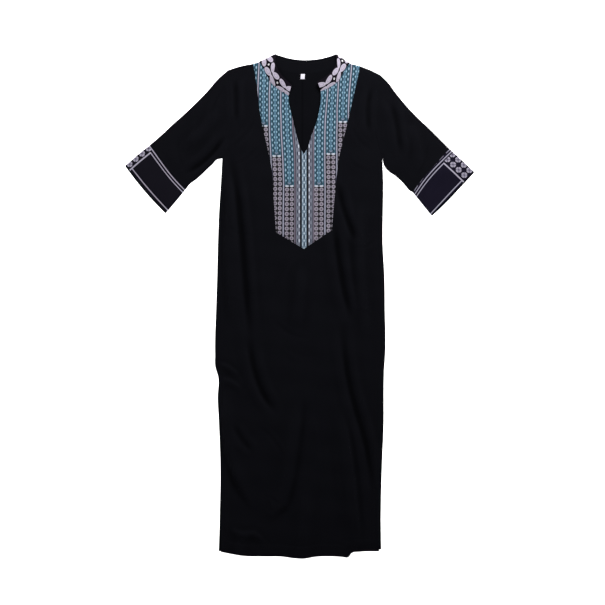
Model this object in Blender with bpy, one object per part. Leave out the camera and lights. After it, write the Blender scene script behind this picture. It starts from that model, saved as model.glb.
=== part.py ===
# A summer dress, laid flat and face up on a floor at z = 0, with its collar towards +Y.
# Units are metres. The origin is on the floor, under the middle of the dress's own box.
# Left and right are as seen from above. The tables give places in centimetres, as a maker
# measures them: across from the centre front line, and up from the lowest point of the hem.

import math

import bmesh
import bpy
import numpy as np
from mathutils import Vector
from mathutils.geometry import delaunay_2d_cdt

CM = 0.01
MM = 0.001

# Driving sizes of the whole garment, in metres
LENGTH = 138.83 * CM
LEFT_REACH = 48.9 * CM
RIGHT_REACH = 46.7 * CM

# Thickness of each cloth, and the gap that pieces keep at a seam
CREPE = 1.2 * MM
BAND = 1.4 * MM
YOKE_CLOTH = 1.0 * MM
LABEL_CLOTH = 1.0 * MM
SEAM_GAP = 0.3 * MM

# How the upper layer lies on the lower one: it swells away from the garment's edges
PUFF = 4.0 * MM
PUFF_REACH = 45 * MM
RIPPLE = 0.35 * MM
RIPPLE_REACH = 25 * MM
RIPPLE_WAVES = (
    # turn a metre across, turn a metre up, start, in radians
    (58, 23, 0.7), (31, -49, 2.1), (12, 83, 4.0))
SOFTENING = 0.8 * MM

# How finely the solids are cut
EDGE_STEP = 25 * MM
CELL = 34 * MM
FOLD_STEP = 34 * MM
CLEARANCE = 11 * MM
BACK_CELL = 3 * CELL
TUBE_CELLS = 13
SLEEVE_STATIONS = 10
CUFF_STATIONS = 3
CURVE_SAMPLES = 24
SHARP_ANGLE = math.radians(50)

# Body: a row for each section, with the height of the section and the reach of each side.
# Above the slits the front and the back share their side seams.
BODY = (
    # section, height, back left, back right, front left, front right
    ("underarm", 110.0, 22.4, 21.6, 22.4, 21.6),
    ("chest", 103.0, 22.8, 21.85, 22.8, 21.85),
    ("ribs", 95.0, 23.3, 21.75, 23.3, 21.75),
    ("waist", 87.0, 23.6, 21.7, 23.6, 21.7),
    ("high hip", 77.0, 23.85, 22.2, 23.85, 22.2),
    ("hip", 69.0, 24.1, 22.3, 24.1, 22.3),
    ("seat", 56.5, 24.4, 22.4, 24.4, 22.4),
    ("above slit", 52.2, 24.2, 22.1, 24.2, 22.1),
    ("slit top", 50.2, 23.6, 22.05, 23.3, 21.9),
    ("thigh", 44.2, 23.7, 22.0, 23.3, 21.7),
    ("knee", 38.0, 23.4, 22.0, 23.0, 21.6),
    ("calf", 25.0, 22.95, 21.5, 22.5, 21.0),
    ("ankle", 11.0, 23.15, 21.2, 22.6, 20.8),
    ("hem", 2.3, 23.4, 21.3, 22.8, 20.7),
)

# Hems, from left to right
FRONT_HEM = (
    (-22.8, 1.85), (-20.6, 1.4), (-15.9, 0.7), (-10.5, 0.6), (-6.0, 0.55), (-2.6, 0.1),
    (-0.2, 0.0), (3.1, 0.5), (10.2, 0.5), (12.2, 0.35), (13.2, 1.55), (15.5, 1.9), (20.7, 2.0))
BACK_HEM = ((-23.4, 2.0), (-12.0, 1.9), (0.0, 1.6), (12.0, 2.2), (21.3, 2.5))

# Shoulders, from the neck to the yoke's corner and on to the armhole
SHOULDER_LEFT = (((-12.0, 136.5), (-13.9, 136.0)), ((-13.9, 136.0), (-17.5, 135.3), (-20.95, 134.2)))
SHOULDER_RIGHT = (((12.4, 136.1), (15.5, 135.35)), ((15.5, 135.35), (18.2, 134.3), (21.1, 132.9)))

# Armhole seams, from the shoulder to the underarm
ARMHOLE_LEFT = (
    (-20.95, 134.2), (-20.9, 130.3), (-20.4, 124.4), (-20.3, 119.0), (-21.3, 114.8), (-22.4, 110.0))
ARMHOLE_RIGHT = (
    (21.1, 132.9), (20.6, 130.3), (19.8, 126.4), (19.3, 122.5), (19.7, 117.0), (21.6, 110.0))

# Neckline seam of the front, from the notch up to the shoulder, and of the back, left to right
NECK_LEFT = ((-4.2, 127.2), (-6.0, 128.3), (-8.3, 130.0), (-9.4, 131.3), (-10.3, 133.2), (-12.0, 136.5))
NECK_RIGHT = ((4.7, 128.4), (6.1, 129.0), (7.8, 129.9), (9.5, 131.3), (10.7, 133.3), (12.4, 136.1))
NECK_BACK = (
    (-12.0, 136.5), (-8.3, 135.1), (-4.3, 133.9), (-0.2, 133.4), (4.1, 133.8), (8.4, 134.8),
    (12.4, 136.1))

# The notch below the collar, each edge from its foot upwards
NOTCH_FOOT = (0.0, 111.0)
NOTCH_LEFT = (NOTCH_FOOT, (-1.2, 113.5), (-2.1, 116.7), (-3.1, 121.0), (-4.0, 124.9), (-4.2, 127.2))
NOTCH_RIGHT = (
    NOTCH_FOOT, (1.0, 112.9), (2.1, 116.3), (3.3, 119.4), (4.2, 122.9), (4.7, 126.4), (4.7, 128.4))

# Outer edges of the yoke, from the shoulder down to its tip
YOKE_TIP = (0.0, 85.1)
YOKE_LEFT = (
    ((-13.9, 136.0), (-12.9, 129.8), (-11.8, 121.0), (-9.9, 112.5), (-8.8, 107.0), (-8.2, 98.0),
     (-7.6, 89.7)),
    ((-7.6, 89.7), YOKE_TIP))
YOKE_RIGHT = (
    ((15.5, 135.35), (13.4, 126.0), (11.8, 119.0), (9.6, 109.8), (8.7, 102.1), (7.7, 90.3)),
    ((7.7, 90.3), YOKE_TIP))

# Sleeves and cuffs: a row for each section, with its end on the upper fold and on the lower seam
SLEEVE_LEFT = (
    # section, upper across, upper height, lower across, lower height
    ("armhole", -20.95, 134.2, -22.4, 110.0),
    ("cap", -23.9, 131.5, -24.0, 109.6),
    ("below cap", -26.4, 128.6, -25.0, 108.5),
    ("bicep", -29.4, 125.5, -26.5, 107.1),
    ("upper arm", -32.4, 122.6, -27.9, 105.7),
    ("above elbow", -36.0, 119.4, -29.6, 104.2),
    ("elbow", -39.35, 116.25, -31.35, 102.9),
    ("cuff seam", -42.3, 113.7, -32.5, 101.45),
)
SLEEVE_RIGHT = (
    ("armhole", 21.1, 132.9, 21.6, 110.0),
    ("cap", 23.3, 130.7, 22.15, 107.9),
    ("below cap", 25.2, 128.1, 23.5, 106.3),
    ("bicep", 28.1, 124.6, 25.15, 105.2),
    ("upper arm", 31.3, 121.2, 26.6, 103.9),
    ("above elbow", 34.7, 118.0, 28.0, 102.4),
    ("elbow", 37.4, 115.3, 29.0, 101.2),
    ("cuff seam", 40.0, 112.7, 29.9, 100.75),
)
CUFF_LEFT = (
    ("cuff seam", -42.3, 113.7, -32.5, 101.45),
    ("middle", -45.65, 111.0, -35.1, 98.25),
    ("opening", -48.9, 108.2, -37.75, 95.1),
)
CUFF_RIGHT = (
    ("cuff seam", 40.0, 112.7, 29.9, 100.75),
    ("middle", 43.4, 109.6, 32.5, 97.5),
    ("opening", 46.7, 106.5, 34.95, 94.45),
)

# How a cuff's seam and its opening bow towards the hand, between the two folds: mm of one arch
# and mm of a wave, whose upper half is raised
CUFF_BOWS = {
    "left": ((3.6, -0.9), (3.7, 0.0)),
    "right": ((-2.2, 0.8), (1.9, -0.4)),
}

# How far the lower layer of a cuff shows past the upper one at the opening
CUFF_UNDERLAP = 4 * MM

# How far a tube's two layers stop short of its edge, where its rounded side begins, in walls
OUTER_INSET = 0.8
INNER_INSET = 1.6
INNER_SIDE = 1.0

# Collar band: a row for each station from the left front end, over the left fold, across the
# back, over the right fold and down to the right front end. The seam side follows the neckline,
# so only the top edge is given. Rise is how far the top edge stands above the seam, in mm.
COLLAR_FRONT_LEFT = (
    # top across, top height, rise
    (-3.35, 130.0, 5.0), (-5.0, 131.6, 7.0), (-6.4, 133.1, 8.0), (-7.2, 134.5, 7.5),
    (-7.8, 136.2, 5.0), (-7.7, 138.6, 0.6))
COLLAR_BACK = (
    (-7.6, 138.6, 0.0), (-5.6, 137.95, 0.0), (-3.0, 137.35, 0.0), (0.2, 137.05, 0.0),
    (3.5, 137.25, 0.0), (6.4, 137.85, 0.0), (8.6, 138.6, 0.0))
COLLAR_FRONT_RIGHT = (
    (8.7, 138.6, 0.6), (9.1, 136.6, 5.0), (8.4, 134.9, 7.5), (7.2, 133.3, 8.0),
    (5.6, 132.1, 7.0), (3.75, 131.0, 5.0))
COLLAR_CELLS = 5
COLLAR_ARCH = 1.2 * MM
FOLD_HEIGHT = 3.4 * MM
FOLD_TURNS = 4

# Label inside the back neck
LABEL_WIDTH = 11.2 * MM
LABEL_HEIGHT = 14.0 * MM
LABEL_TOP = (-0.3, 133.2)

# Folds of the upper layer: a row for each, with its height over the cloth beside it (below zero
# is a valley with raised shoulders), its width on each side of its course, and its course in cm.
FOLDS = (
    # name, height mm, left width mm, right width mm, course
    ("left side crease", -4.6, 11, 12,
     ((-20.5, 113.5), (-18.3, 100.5), (-16.6, 84.0), (-15.5, 70.0), (-14.2, 57.0))),
    ("left side crease foot", -3.8, 13, 11, ((-15.2, 62.0), (-13.2, 50.5), (-9.8, 43.0), (-6.5, 39.5))),
    ("left side swell", 5.0, 22, 13, ((-19.6, 108.0), (-20.6, 92.0), (-20.2, 76.0), (-18.8, 62.0))),
    ("breast crease", -3.4, 10, 10, ((9.6, 104.0), (10.6, 97.5), (12.2, 92.5), (14.4, 86.5))),
    ("right crease", -4.6, 11, 12, ((8.2, 94.0), (9.6, 83.0), (11.0, 74.5), (13.4, 64.0))),
    ("right swell", 5.6, 20, 11, ((15.6, 99.0), (15.0, 84.0), (16.0, 70.0), (17.2, 58.0))),
    ("right thigh crease", -4.4, 12, 11,
     ((10.6, 66.0), (11.8, 52.0), (13.6, 43.4), (16.8, 32.6), (19.6, 15.0))),
    ("pleat by the hem", 6.2, 7, 26, ((9.8, 43.0), (11.4, 35.3), (12.6, 27.5), (13.8, 17.0), (15.2, 1.5))),
    ("tongue left side", 6.6, 30, 8,
     ((-22.0, 47.5), (-21.4, 36.6), (-19.7, 26.0), (-16.4, 18.4), (-12.3, 13.3))),
    ("tongue right side", 6.6, 30, 8,
     ((-12.3, 13.3), (-9.2, 12.4), (-6.3, 14.0), (-4.4, 19.5), (-2.9, 28.0), (-1.0, 46.0))),
    ("tongue inner crease", -3.2, 10, 10, ((-19.4, 37.5), (-17.0, 33.0), (-13.4, 29.0))),
    ("hem crumple", 3.6, 8, 8, ((-20.4, 8.6), (-17.0, 6.6), (-13.6, 6.8), (-10.4, 3.2))),
    ("hem wave left", 2.6, 16, 16, ((-16.0, 9.0), (-17.2, 4.6), (-17.6, -3.0))),
    ("hem wave middle", 3.0, 22, 22, ((1.2, 22.0), (0.2, 9.0), (-0.4, -6.0))),
    ("slit wrinkle upper", 2.4, 7, 7, ((-23.6, 53.6), (-20.6, 52.4), (-17.8, 50.0))),
    ("slit wrinkle lower", 2.0, 7, 7, ((-23.4, 49.0), (-20.2, 48.6), (-17.0, 46.4))),
    ("front ridge", 3.6, 18, 14, ((-0.4, 82.0), (-1.2, 73.0), (-2.6, 60.0))),
    ("left armhole crease", -3.0, 8, 8, ((-18.9, 132.6), (-18.7, 126.0), (-18.6, 119.0))),
    ("right armhole crease", -3.0, 8, 8, ((18.4, 130.0), (17.6, 124.0), (17.9, 116.0))),
    ("left sleeve crease", -3.8, 10, 10, ((-21.6, 116.6), (-24.6, 112.2), (-28.4, 108.6), (-33.4, 105.6))),
    ("left sleeve swell", 4.4, 16, 16, ((-23.0, 124.0), (-28.0, 117.6), (-34.2, 112.0))),
    ("right sleeve crease", -3.6, 10, 10, ((23.8, 127.0), (25.6, 119.0), (26.8, 110.0))),
    ("right sleeve swell", 4.2, 17, 14, ((29.0, 120.6), (31.0, 113.4), (31.6, 106.0))),
)
FOLD_TAPER = 0.3

# Where rows of points run along a fold, in widths to the left of its course
FOLD_ROWS = (-1.35, -0.6, 0.0, 0.6, 1.35)
FOLD_PIECES = 10

# Materials: base colour and roughness
MATERIALS = {
    "crepe": ((0.0060, 0.0062, 0.0080), 0.85),
    "cuff_print": ((0.0100, 0.0090, 0.0160), 0.80),
    "collar_print": ((0.2000, 0.1700, 0.2300), 0.78),
    "yoke_print": ((0.0600, 0.1500, 0.1900), 0.78),
    "label_tape": ((0.8000, 0.8000, 0.7900), 0.60),
}

CENTRE_FRONT = (LEFT_REACH - RIGHT_REACH) / 2
HEM_LINE = -LENGTH / 2


def place(points):
    """Maker's centimetres as metres in the part's frame."""
    return np.array(points, float) * CM + (CENTRE_FRONT, HEM_LINE)


def smooth_line(points, pieces):
    """A smooth curve through the points, in so many equal pieces."""
    knots = np.array(points, float)
    reach = np.concatenate([[0.0], np.cumsum(np.linalg.norm(np.diff(knots, axis=0), axis=1))])
    slopes = np.gradient(knots, reach, axis=0)
    samples = np.linspace(0.0, reach[-1], CURVE_SAMPLES * len(knots))
    left = np.clip(np.searchsorted(reach, samples, side="right") - 1, 0, len(knots) - 2)
    span = (reach[left + 1] - reach[left])[:, None]
    t = (samples - reach[left])[:, None] / span
    curve = ((2 * t**3 - 3 * t**2 + 1) * knots[left] + (t**3 - 2 * t**2 + t) * span * slopes[left]
             + (3 * t**2 - 2 * t**3) * knots[left + 1] + (t**3 - t**2) * span * slopes[left + 1])
    walked = np.concatenate([[0.0], np.cumsum(np.linalg.norm(np.diff(curve, axis=0), axis=1))])
    even = np.linspace(0.0, walked[-1], pieces + 1)
    return np.stack([np.interp(even, walked, curve[:, axis]) for axis in range(curve.shape[1])], axis=1)


def line_length(points):
    """Length of a run of straight pieces."""
    return float(np.linalg.norm(np.diff(points, axis=0), axis=1).sum())


def seam(points, step=EDGE_STEP):
    """A seam or edge in the part's frame, cut into pieces about one step long."""
    line = place(points)
    return smooth_line(line, max(1, round(line_length(line) / step)))


def join(*lines):
    """One line from several that meet end to end."""
    whole = [lines[0]]
    for line in lines[1:]:
        whole.append(line[1:])
    return np.concatenate(whole)


def body_side(column, sign):
    """A side edge of the body from the underarm down to the hem."""
    return seam([(sign * row[column], row[1]) for row in BODY])


def sleeve_edges(rows):
    """The upper and the lower edge of a sleeve or cuff, in the part's frame."""
    upper = place([(row[1], row[2]) for row in rows])
    lower = place([(row[3], row[4]) for row in rows])
    return upper, lower


def garment_outline():
    """The whole garment's closed outline in plan, anticlockwise from the left of the hem."""
    upper_left, lower_left = sleeve_edges(SLEEVE_LEFT)
    upper_right, lower_right = sleeve_edges(SLEEVE_RIGHT)
    cuff_upper_left, cuff_lower_left = sleeve_edges(CUFF_LEFT)
    cuff_upper_right, cuff_lower_right = sleeve_edges(CUFF_RIGHT)
    whole = np.concatenate([
        seam(FRONT_HEM), body_side(3, 1)[::-1], lower_right, cuff_lower_right[1:],
        cuff_upper_right[::-1], upper_right[::-1], seam(SHOULDER_RIGHT[0])[::-1],
        seam(NECK_BACK)[::-1], seam(SHOULDER_LEFT[0]), upper_left, cuff_upper_left[1:],
        cuff_lower_left[::-1], lower_left[::-1], body_side(2, -1)])
    return np.concatenate([whole, whole[:1]])


OUTLINE = garment_outline()


def nearest_on(line, points):
    """For each point: distance to the line, side of it (1 is left) and how far along it, 0 to 1."""
    starts, ends = line[:-1], line[1:]
    runs = ends - starts
    lengths = np.maximum(np.linalg.norm(runs, axis=1), 1e-9)
    offset = points[:, None, :] - starts[None, :, :]
    share = np.clip((offset * runs).sum(axis=2) / lengths**2, 0.0, 1.0)
    away = offset - share[:, :, None] * runs
    distance = np.linalg.norm(away, axis=2)
    best = distance.argmin(axis=1)
    rows = np.arange(len(points))
    cross = runs[best, 0] * offset[rows, best, 1] - runs[best, 1] * offset[rows, best, 0]
    walked = np.concatenate([[0.0], np.cumsum(lengths)])
    along = (walked[best] + share[rows, best] * lengths[best]) / walked[-1]
    return distance[rows, best], np.where(cross >= 0, 1.0, -1.0), along


def ease(value):
    """A smooth step from 0 to 1."""
    t = np.clip(value, 0.0, 1.0)
    return t * t * (3 - 2 * t)


def fold_lines():
    """The folds with their courses as smooth lines in the part's frame."""
    return [(height * MM, left * MM, right * MM, smooth_line(place(course), FOLD_PIECES))
            for _, height, left, right, course in FOLDS]


FOLD_LINES = fold_lines()


def fold_height(points):
    """Height that all the folds give at each point."""
    total = np.zeros(len(points))
    for height, left, right, line in FOLD_LINES:
        distance, side, along = nearest_on(line, points)
        q = distance / np.where(side > 0, left, right)
        taper = ease(np.minimum(along, 1 - along) / FOLD_TAPER)
        if height < 0:
            profile = (1 - q * q) * np.exp(-q * q / 2)
        else:
            profile = np.exp(-q * q)
        total += height * taper * profile
    return total


def ripple(points):
    """A faint unevenness that all laid cloth has."""
    x, y = points[:, 0], points[:, 1]
    return RIPPLE * sum(np.sin(x * across + y * up + start) for across, up, start in RIPPLE_WAVES)


def lift(points):
    """How high the upper layer's underside lies over the lower layer's upper side."""
    points = np.asarray(points, float)
    inside = nearest_on(OUTLINE, points)[0]
    swell = PUFF * (1 - np.exp(-inside / PUFF_REACH))
    free = swell + fold_height(points) + ripple(points) * (1 - np.exp(-inside / RIPPLE_REACH))
    return SEAM_GAP + (free + np.sqrt(free * free + SOFTENING**2)) / 2


def inside_outline(points, outline):
    """Which of the points lie inside a closed outline."""
    x, y = points[:, 0], points[:, 1]
    hits = np.zeros(len(points), int)
    for (ax, ay), (bx, by) in zip(outline, np.roll(outline, -1, axis=0)):
        if ay != by:
            crosses = (ay > y) != (by > y)
            hits += crosses & (x < (bx - ax) * (y - ay) / (by - ay) + ax)
    return hits % 2 == 1


def cell_points(outline, cell):
    """Points of a triangular grid that lie inside the outline, clear of its edge."""
    low, high = outline.min(axis=0), outline.max(axis=0)
    found = []
    for row, y in enumerate(np.arange(low[1], high[1], cell * math.sqrt(3) / 2)):
        for x in np.arange(low[0] + (row % 2) * cell / 2, high[0], cell):
            found.append((x, y))
    found = np.array(found)
    found = found[inside_outline(found, outline)]
    edge = np.concatenate([outline, outline[:1]])
    return found[nearest_on(edge, found)[0] > CLEARANCE]


def fold_points(outline):
    """Rows of points along each fold, so that its form keeps its edges."""
    found = []
    for _, left, right, line in FOLD_LINES:
        course = smooth_line(line, max(3, round(line_length(line) / FOLD_STEP)))
        run = np.gradient(course, axis=0)
        across = np.stack([-run[:, 1], run[:, 0]], axis=1) / np.linalg.norm(run, axis=1)[:, None]
        for place_across in FOLD_ROWS:
            width = left if place_across > 0 else right
            found.extend(course + across * place_across * width)
    found = np.array(found)
    found = found[inside_outline(found, outline)]
    edge = np.concatenate([outline, outline[:1]])
    return found[nearest_on(edge, found)[0] > CLEARANCE]


def thin_out(points, kept):
    """The points that keep their distance from the kept ones and from each other."""
    chosen = [tuple(p) for p in kept]
    fixed = len(chosen)
    for point in points:
        others = np.array(chosen)
        if ((others - point) ** 2).sum(axis=1).min() > CLEARANCE**2:
            chosen.append(tuple(point))
    return np.array(chosen[fixed:])


def triangulate(outline, inner_line, loose_points):
    """Triangles that fill an outline in plan. The inner line, if any, is kept as edges."""
    points = [Vector(p) for p in outline]
    count = len(points)
    edges = [(i, (i + 1) % count) for i in range(count)]
    if inner_line is not None:
        first = len(points)
        points += [Vector(p) for p in inner_line]
        edges += [(first + i, first + i + 1) for i in range(len(inner_line) - 1)]
    points += [Vector(p) for p in loose_points]
    flat, _, faces, _, _, _ = delaunay_2d_cdt(points, edges, [list(range(count))], 1, 1e-6)
    return np.array([tuple(p) for p in flat]), [tuple(face) for face in faces]


def make_object(name, vertices, faces, material):
    """A mesh object with outward faces, one material and smooth shading off its sharp edges."""
    mesh = bpy.data.meshes.new(name)
    mesh.from_pydata([tuple(float(c) for c in v) for v in vertices], [], faces)
    form = bmesh.new()
    form.from_mesh(mesh)
    loose = [v for v in form.verts if not v.link_faces]
    bmesh.ops.delete(form, geom=loose, context="VERTS")
    bmesh.ops.recalc_face_normals(form, faces=form.faces)
    form.to_mesh(mesh)
    form.free()
    mesh.shade_smooth()
    mesh.set_sharp_from_angle(angle=SHARP_ANGLE)
    mesh.materials.append(material)
    piece = bpy.data.objects.new(name, mesh)
    bpy.context.scene.collection.objects.link(piece)
    return piece


def slab(name, plan, faces, underside, topside, material):
    """A closed wall of cloth over plan triangles, between two heights for each point."""
    used = sorted({index for face in faces for index in face})
    renumber = {index: row for row, index in enumerate(used)}
    faces = [tuple(renumber[index] for index in face) for face in faces]
    plan, underside, topside = plan[used], underside[used], topside[used]
    count = len(plan)
    vertices = [(x, y, z) for (x, y), z in zip(plan, underside)]
    vertices += [(x, y, z) for (x, y), z in zip(plan, topside)]
    sides = set()
    for face in faces:
        for a, b in zip(face, face[1:] + face[:1]):
            sides.add((a, b))
    rim = [(a, b) for a, b in sides if (b, a) not in sides]
    walls = [(a, b, b + count, a + count) for a, b in sorted(rim)]
    lower = [face[::-1] for face in faces]
    upper = [tuple(index + count for index in face) for face in faces]
    return make_object(name, vertices, lower + upper + walls, material)


def front_outline():
    """Outline of the front in plan, anticlockwise from the left of the hem."""
    left, right = body_side(4, -1), body_side(5, 1)
    armhole_left = smooth_line(place(ARMHOLE_LEFT), TUBE_CELLS)
    armhole_right = smooth_line(place(ARMHOLE_RIGHT), TUBE_CELLS)
    whole = join(seam(FRONT_HEM), right[::-1], armhole_right[::-1], seam(SHOULDER_RIGHT[1])[::-1],
                 seam(SHOULDER_RIGHT[0])[::-1], neck_line(NECK_RIGHT)[::-1], seam(NOTCH_RIGHT)[::-1],
                 seam(NOTCH_LEFT), neck_line(NECK_LEFT), seam(SHOULDER_LEFT[0]),
                 seam(SHOULDER_LEFT[1]), armhole_left, left)
    return whole[:-1]


def neck_line(points):
    """A neckline seam with one point at each station of the collar."""
    return smooth_line(place(points), len(points) - 1)


def yoke_edge():
    """The yoke's outer edge from its left corner, over its tip, to its right corner."""
    left = join(seam(YOKE_LEFT[0]), seam(YOKE_LEFT[1]))
    right = join(seam(YOKE_RIGHT[0]), seam(YOKE_RIGHT[1]))
    return join(left, right[::-1])


def yoke_outline():
    """The closed outline of the yoke in plan."""
    whole = join(yoke_edge(), seam(SHOULDER_RIGHT[0])[::-1], neck_line(NECK_RIGHT)[::-1],
                 seam(NOTCH_RIGHT)[::-1], seam(NOTCH_LEFT), neck_line(NECK_LEFT), seam(SHOULDER_LEFT[0]))
    return whole[:-1]


def build_front_and_yoke(materials):
    """The front panel, and the yoke made from the front's own points, moved out."""
    outline = front_outline()
    edge = yoke_edge()
    fixed = np.concatenate([outline, edge])
    loose = thin_out(np.concatenate([fold_points(outline), cell_points(outline, CELL)]), fixed)
    plan, faces = triangulate(outline, edge[1:-1], loose)
    underside = CREPE + lift(plan)
    topside = underside + CREPE
    slab("front", plan, faces, underside, topside, materials["crepe"])
    middles = np.array([plan[list(face)].mean(axis=0) for face in faces])
    within = inside_outline(middles, yoke_outline())
    yoke_faces = [face for face, keep in zip(faces, within) if keep]
    yoke_underside = topside + SEAM_GAP
    slab("yoke", plan, yoke_faces, yoke_underside, yoke_underside + YOKE_CLOTH, materials["yoke_print"])


def build_back(materials):
    """The back panel, flat on the floor."""
    armhole_left = smooth_line(place(ARMHOLE_LEFT), TUBE_CELLS)
    armhole_right = smooth_line(place(ARMHOLE_RIGHT), TUBE_CELLS)
    outline = join(seam(BACK_HEM), body_side(3, 1)[::-1], armhole_right[::-1],
                   seam(SHOULDER_RIGHT[1])[::-1], seam(SHOULDER_RIGHT[0])[::-1],
                   neck_line(NECK_BACK)[::-1], seam(SHOULDER_LEFT[0]), seam(SHOULDER_LEFT[1]),
                   armhole_left, body_side(2, -1))[:-1]
    plan, faces = triangulate(outline, None, cell_points(outline, BACK_CELL))
    floor = np.zeros(len(plan))
    slab("back", plan, faces, floor, floor + CREPE, materials["crepe"])


def sleeve_run(rows):
    """The direction in which a sleeve or a cuff runs."""
    upper, lower = sleeve_edges(rows)
    run = (upper[-1] + lower[-1]) - (upper[0] + lower[0])
    return run / np.linalg.norm(run)


def cuff_bow(rows, arch, wave):
    """How far the points of a line across a cuff lie off the straight line between the folds."""
    share = np.linspace(0.0, 1.0, TUBE_CELLS + 1)
    amount = (np.sin(math.pi * share) * arch + np.sin(2 * math.pi * share) * wave) * MM
    return amount[:, None] * sleeve_run(rows)


def sleeve_plan(rows, stations, start_bow, end_bow, underlap):
    """A sleeve's plan points at each station, from the upper fold to the lower seam.

    Each bow is added to the straight line across its end, and fades along the sleeve. The
    second result is the lower layer, which may reach further at the open end.
    """
    upper, lower = (smooth_line(edge, stations) for edge in sleeve_edges(rows))
    share = np.linspace(0.0, 1.0, TUBE_CELLS + 1)[:, None]
    top, bottom = [], []
    for station in range(stations + 1):
        along = station / stations
        ring = upper[station] + (lower[station] - upper[station]) * share
        ring = ring + start_bow * (1 - along) ** 2 + end_bow * along**2
        top.append(ring)
        bottom.append(ring + sleeve_run(rows) * underlap * along**3)
    return np.array(top), np.array(bottom)


def ring_ends(line, inset, bulge):
    """The ring's row of points with its two ends drawn in, and the two points at mid height."""
    row = line.copy()
    first = (line[1] - line[0]) / np.linalg.norm(line[1] - line[0])
    last = (line[-2] - line[-1]) / np.linalg.norm(line[-2] - line[-1])
    row[0] = line[0] + first * inset
    row[-1] = line[-1] + last * inset
    return row, line[0] + first * bulge, line[-1] + last * bulge


def tube_ring(top, bottom, wall, inner):
    """One closed ring of a flattened tube: its lower row, a side, its upper row and the other side."""
    inset = wall * (INNER_INSET if inner else OUTER_INSET)
    bulge = wall * INNER_SIDE if inner else 0.0
    height = lift(top)
    low, _, _ = ring_ends(bottom, inset, bulge)
    high, side_first, side_last = ring_ends(top, inset, bulge)
    floor = wall if inner else 0.0
    ceiling = wall + height if inner else 2 * wall + height
    middle = wall + height / 2
    ring = [(x, y, floor) for x, y in low]
    ring.append((side_last[0], side_last[1], middle[-1]))
    ring += [(x, y, z) for (x, y), z in zip(high[::-1], ceiling[::-1])]
    ring.append((side_first[0], side_first[1], middle[0]))
    return ring


def tube(name, top, bottom, wall, material):
    """A flattened tube of cloth, open at both ends, from its rings."""
    outer = [tube_ring(t, b, wall, False) for t, b in zip(top, bottom)]
    inner = [tube_ring(t, b, wall, True) for t, b in zip(top, bottom)]
    around = len(outer[0])
    stations = len(outer)
    vertices = [point for ring in outer + inner for point in ring]
    faces = []

    def at(skin, station, step):
        return (skin * stations + station) * around + step % around

    for station in range(stations - 1):
        for step in range(around):
            for skin in (0, 1):
                faces.append((at(skin, station, step), at(skin, station, step + 1),
                              at(skin, station + 1, step + 1), at(skin, station + 1, step)))
    for station in (0, stations - 1):
        for step in range(around):
            faces.append((at(0, station, step), at(0, station, step + 1),
                          at(1, station, step + 1), at(1, station, step)))
    return make_object(name, vertices, faces, material)


def build_sleeves(materials):
    """Both sleeves, and the cuff bands sewn to their ends."""
    sides = (
        ("left", -1, ARMHOLE_LEFT, SLEEVE_LEFT, CUFF_LEFT),
        ("right", 1, ARMHOLE_RIGHT, SLEEVE_RIGHT, CUFF_RIGHT),
    )
    for side, sign, armhole, sleeve_rows, cuff_rows in sides:
        seam_line = smooth_line(place(armhole), TUBE_CELLS)
        seam_bow = seam_line - np.linspace(seam_line[0], seam_line[-1], TUBE_CELLS + 1)
        cuff_seam, opening = (cuff_bow(cuff_rows, *bow) for bow in CUFF_BOWS[side])
        top, _ = sleeve_plan(sleeve_rows, SLEEVE_STATIONS, seam_bow, cuff_seam, 0.0)
        top[:, :, 0] += sign * SEAM_GAP * np.linspace(1, 0, len(top))[:, None]
        tube("sleeve_" + side, top, top, CREPE, materials["crepe"])
        top, bottom = sleeve_plan(cuff_rows, CUFF_STATIONS, cuff_seam, opening, CUFF_UNDERLAP)
        shift = sleeve_run(cuff_rows) * SEAM_GAP * np.linspace(1, 0, len(top))[:, None, None]
        tube("cuff_" + side, top + shift, bottom + shift, CREPE, materials["cuff_print"])


def collar_station(seam_at, top_at, height, rise):
    """A station of the collar, just off its seam: seam point and top point, as x, y, z, x, y, z."""
    inward = (top_at - seam_at) / np.linalg.norm(top_at - seam_at)
    return (*(seam_at + inward * SEAM_GAP), height, *top_at, height + rise)


def collar_rows():
    """The stations of the middle of the collar's wall, from the left front end to the right one."""
    def front(tops, neck):
        stations = []
        for index, (top, seam_at) in enumerate(zip(tops, neck)):
            height = CREPE + lift(seam_at[None, :])[0] + CREPE
            at_fold = ease((index - len(tops) + 3) / 2)
            height = height + (FOLD_HEIGHT + BAND / 2 - height) * at_fold
            stations.append(collar_station(seam_at, place(top[:2]), height, top[2] * MM))
        return stations

    left = front(COLLAR_FRONT_LEFT, neck_line(NECK_LEFT))
    right = front(COLLAR_FRONT_RIGHT[::-1], neck_line(NECK_RIGHT))
    back = [collar_station(seam_at, place(top[:2]), BAND / 2, 0.0)
            for top, seam_at in zip(COLLAR_BACK, neck_line(NECK_BACK))]
    return np.array(left + turn(left[-1], back[0], -1) + back[1:-1]
                    + turn(back[-1], right[-1], 1) + right[::-1])


def turn(start, end, sign):
    """The half turn where the band folds over at a side of the neck."""
    start, end = np.array(start), np.array(end)
    seam_at, top_at = (start[:2] + end[:2]) / 2, (start[3:5] + end[3:5]) / 2
    run = top_at - seam_at
    outward = np.array([-run[1], run[0]]) / np.linalg.norm(run)
    if outward[0] * sign < 0:
        outward = -outward
    radius = abs(end[2] - start[2]) / 2
    rows = []
    for step in range(FOLD_TURNS + 1):
        angle = math.pi * step / FOLD_TURNS
        out = outward * math.sin(angle) * radius
        height = (start[2] + end[2]) / 2 + (start[2] - end[2]) / 2 * math.cos(angle)
        rows.append((*(seam_at + out), height, *(top_at + out), height))
    return rows


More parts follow.
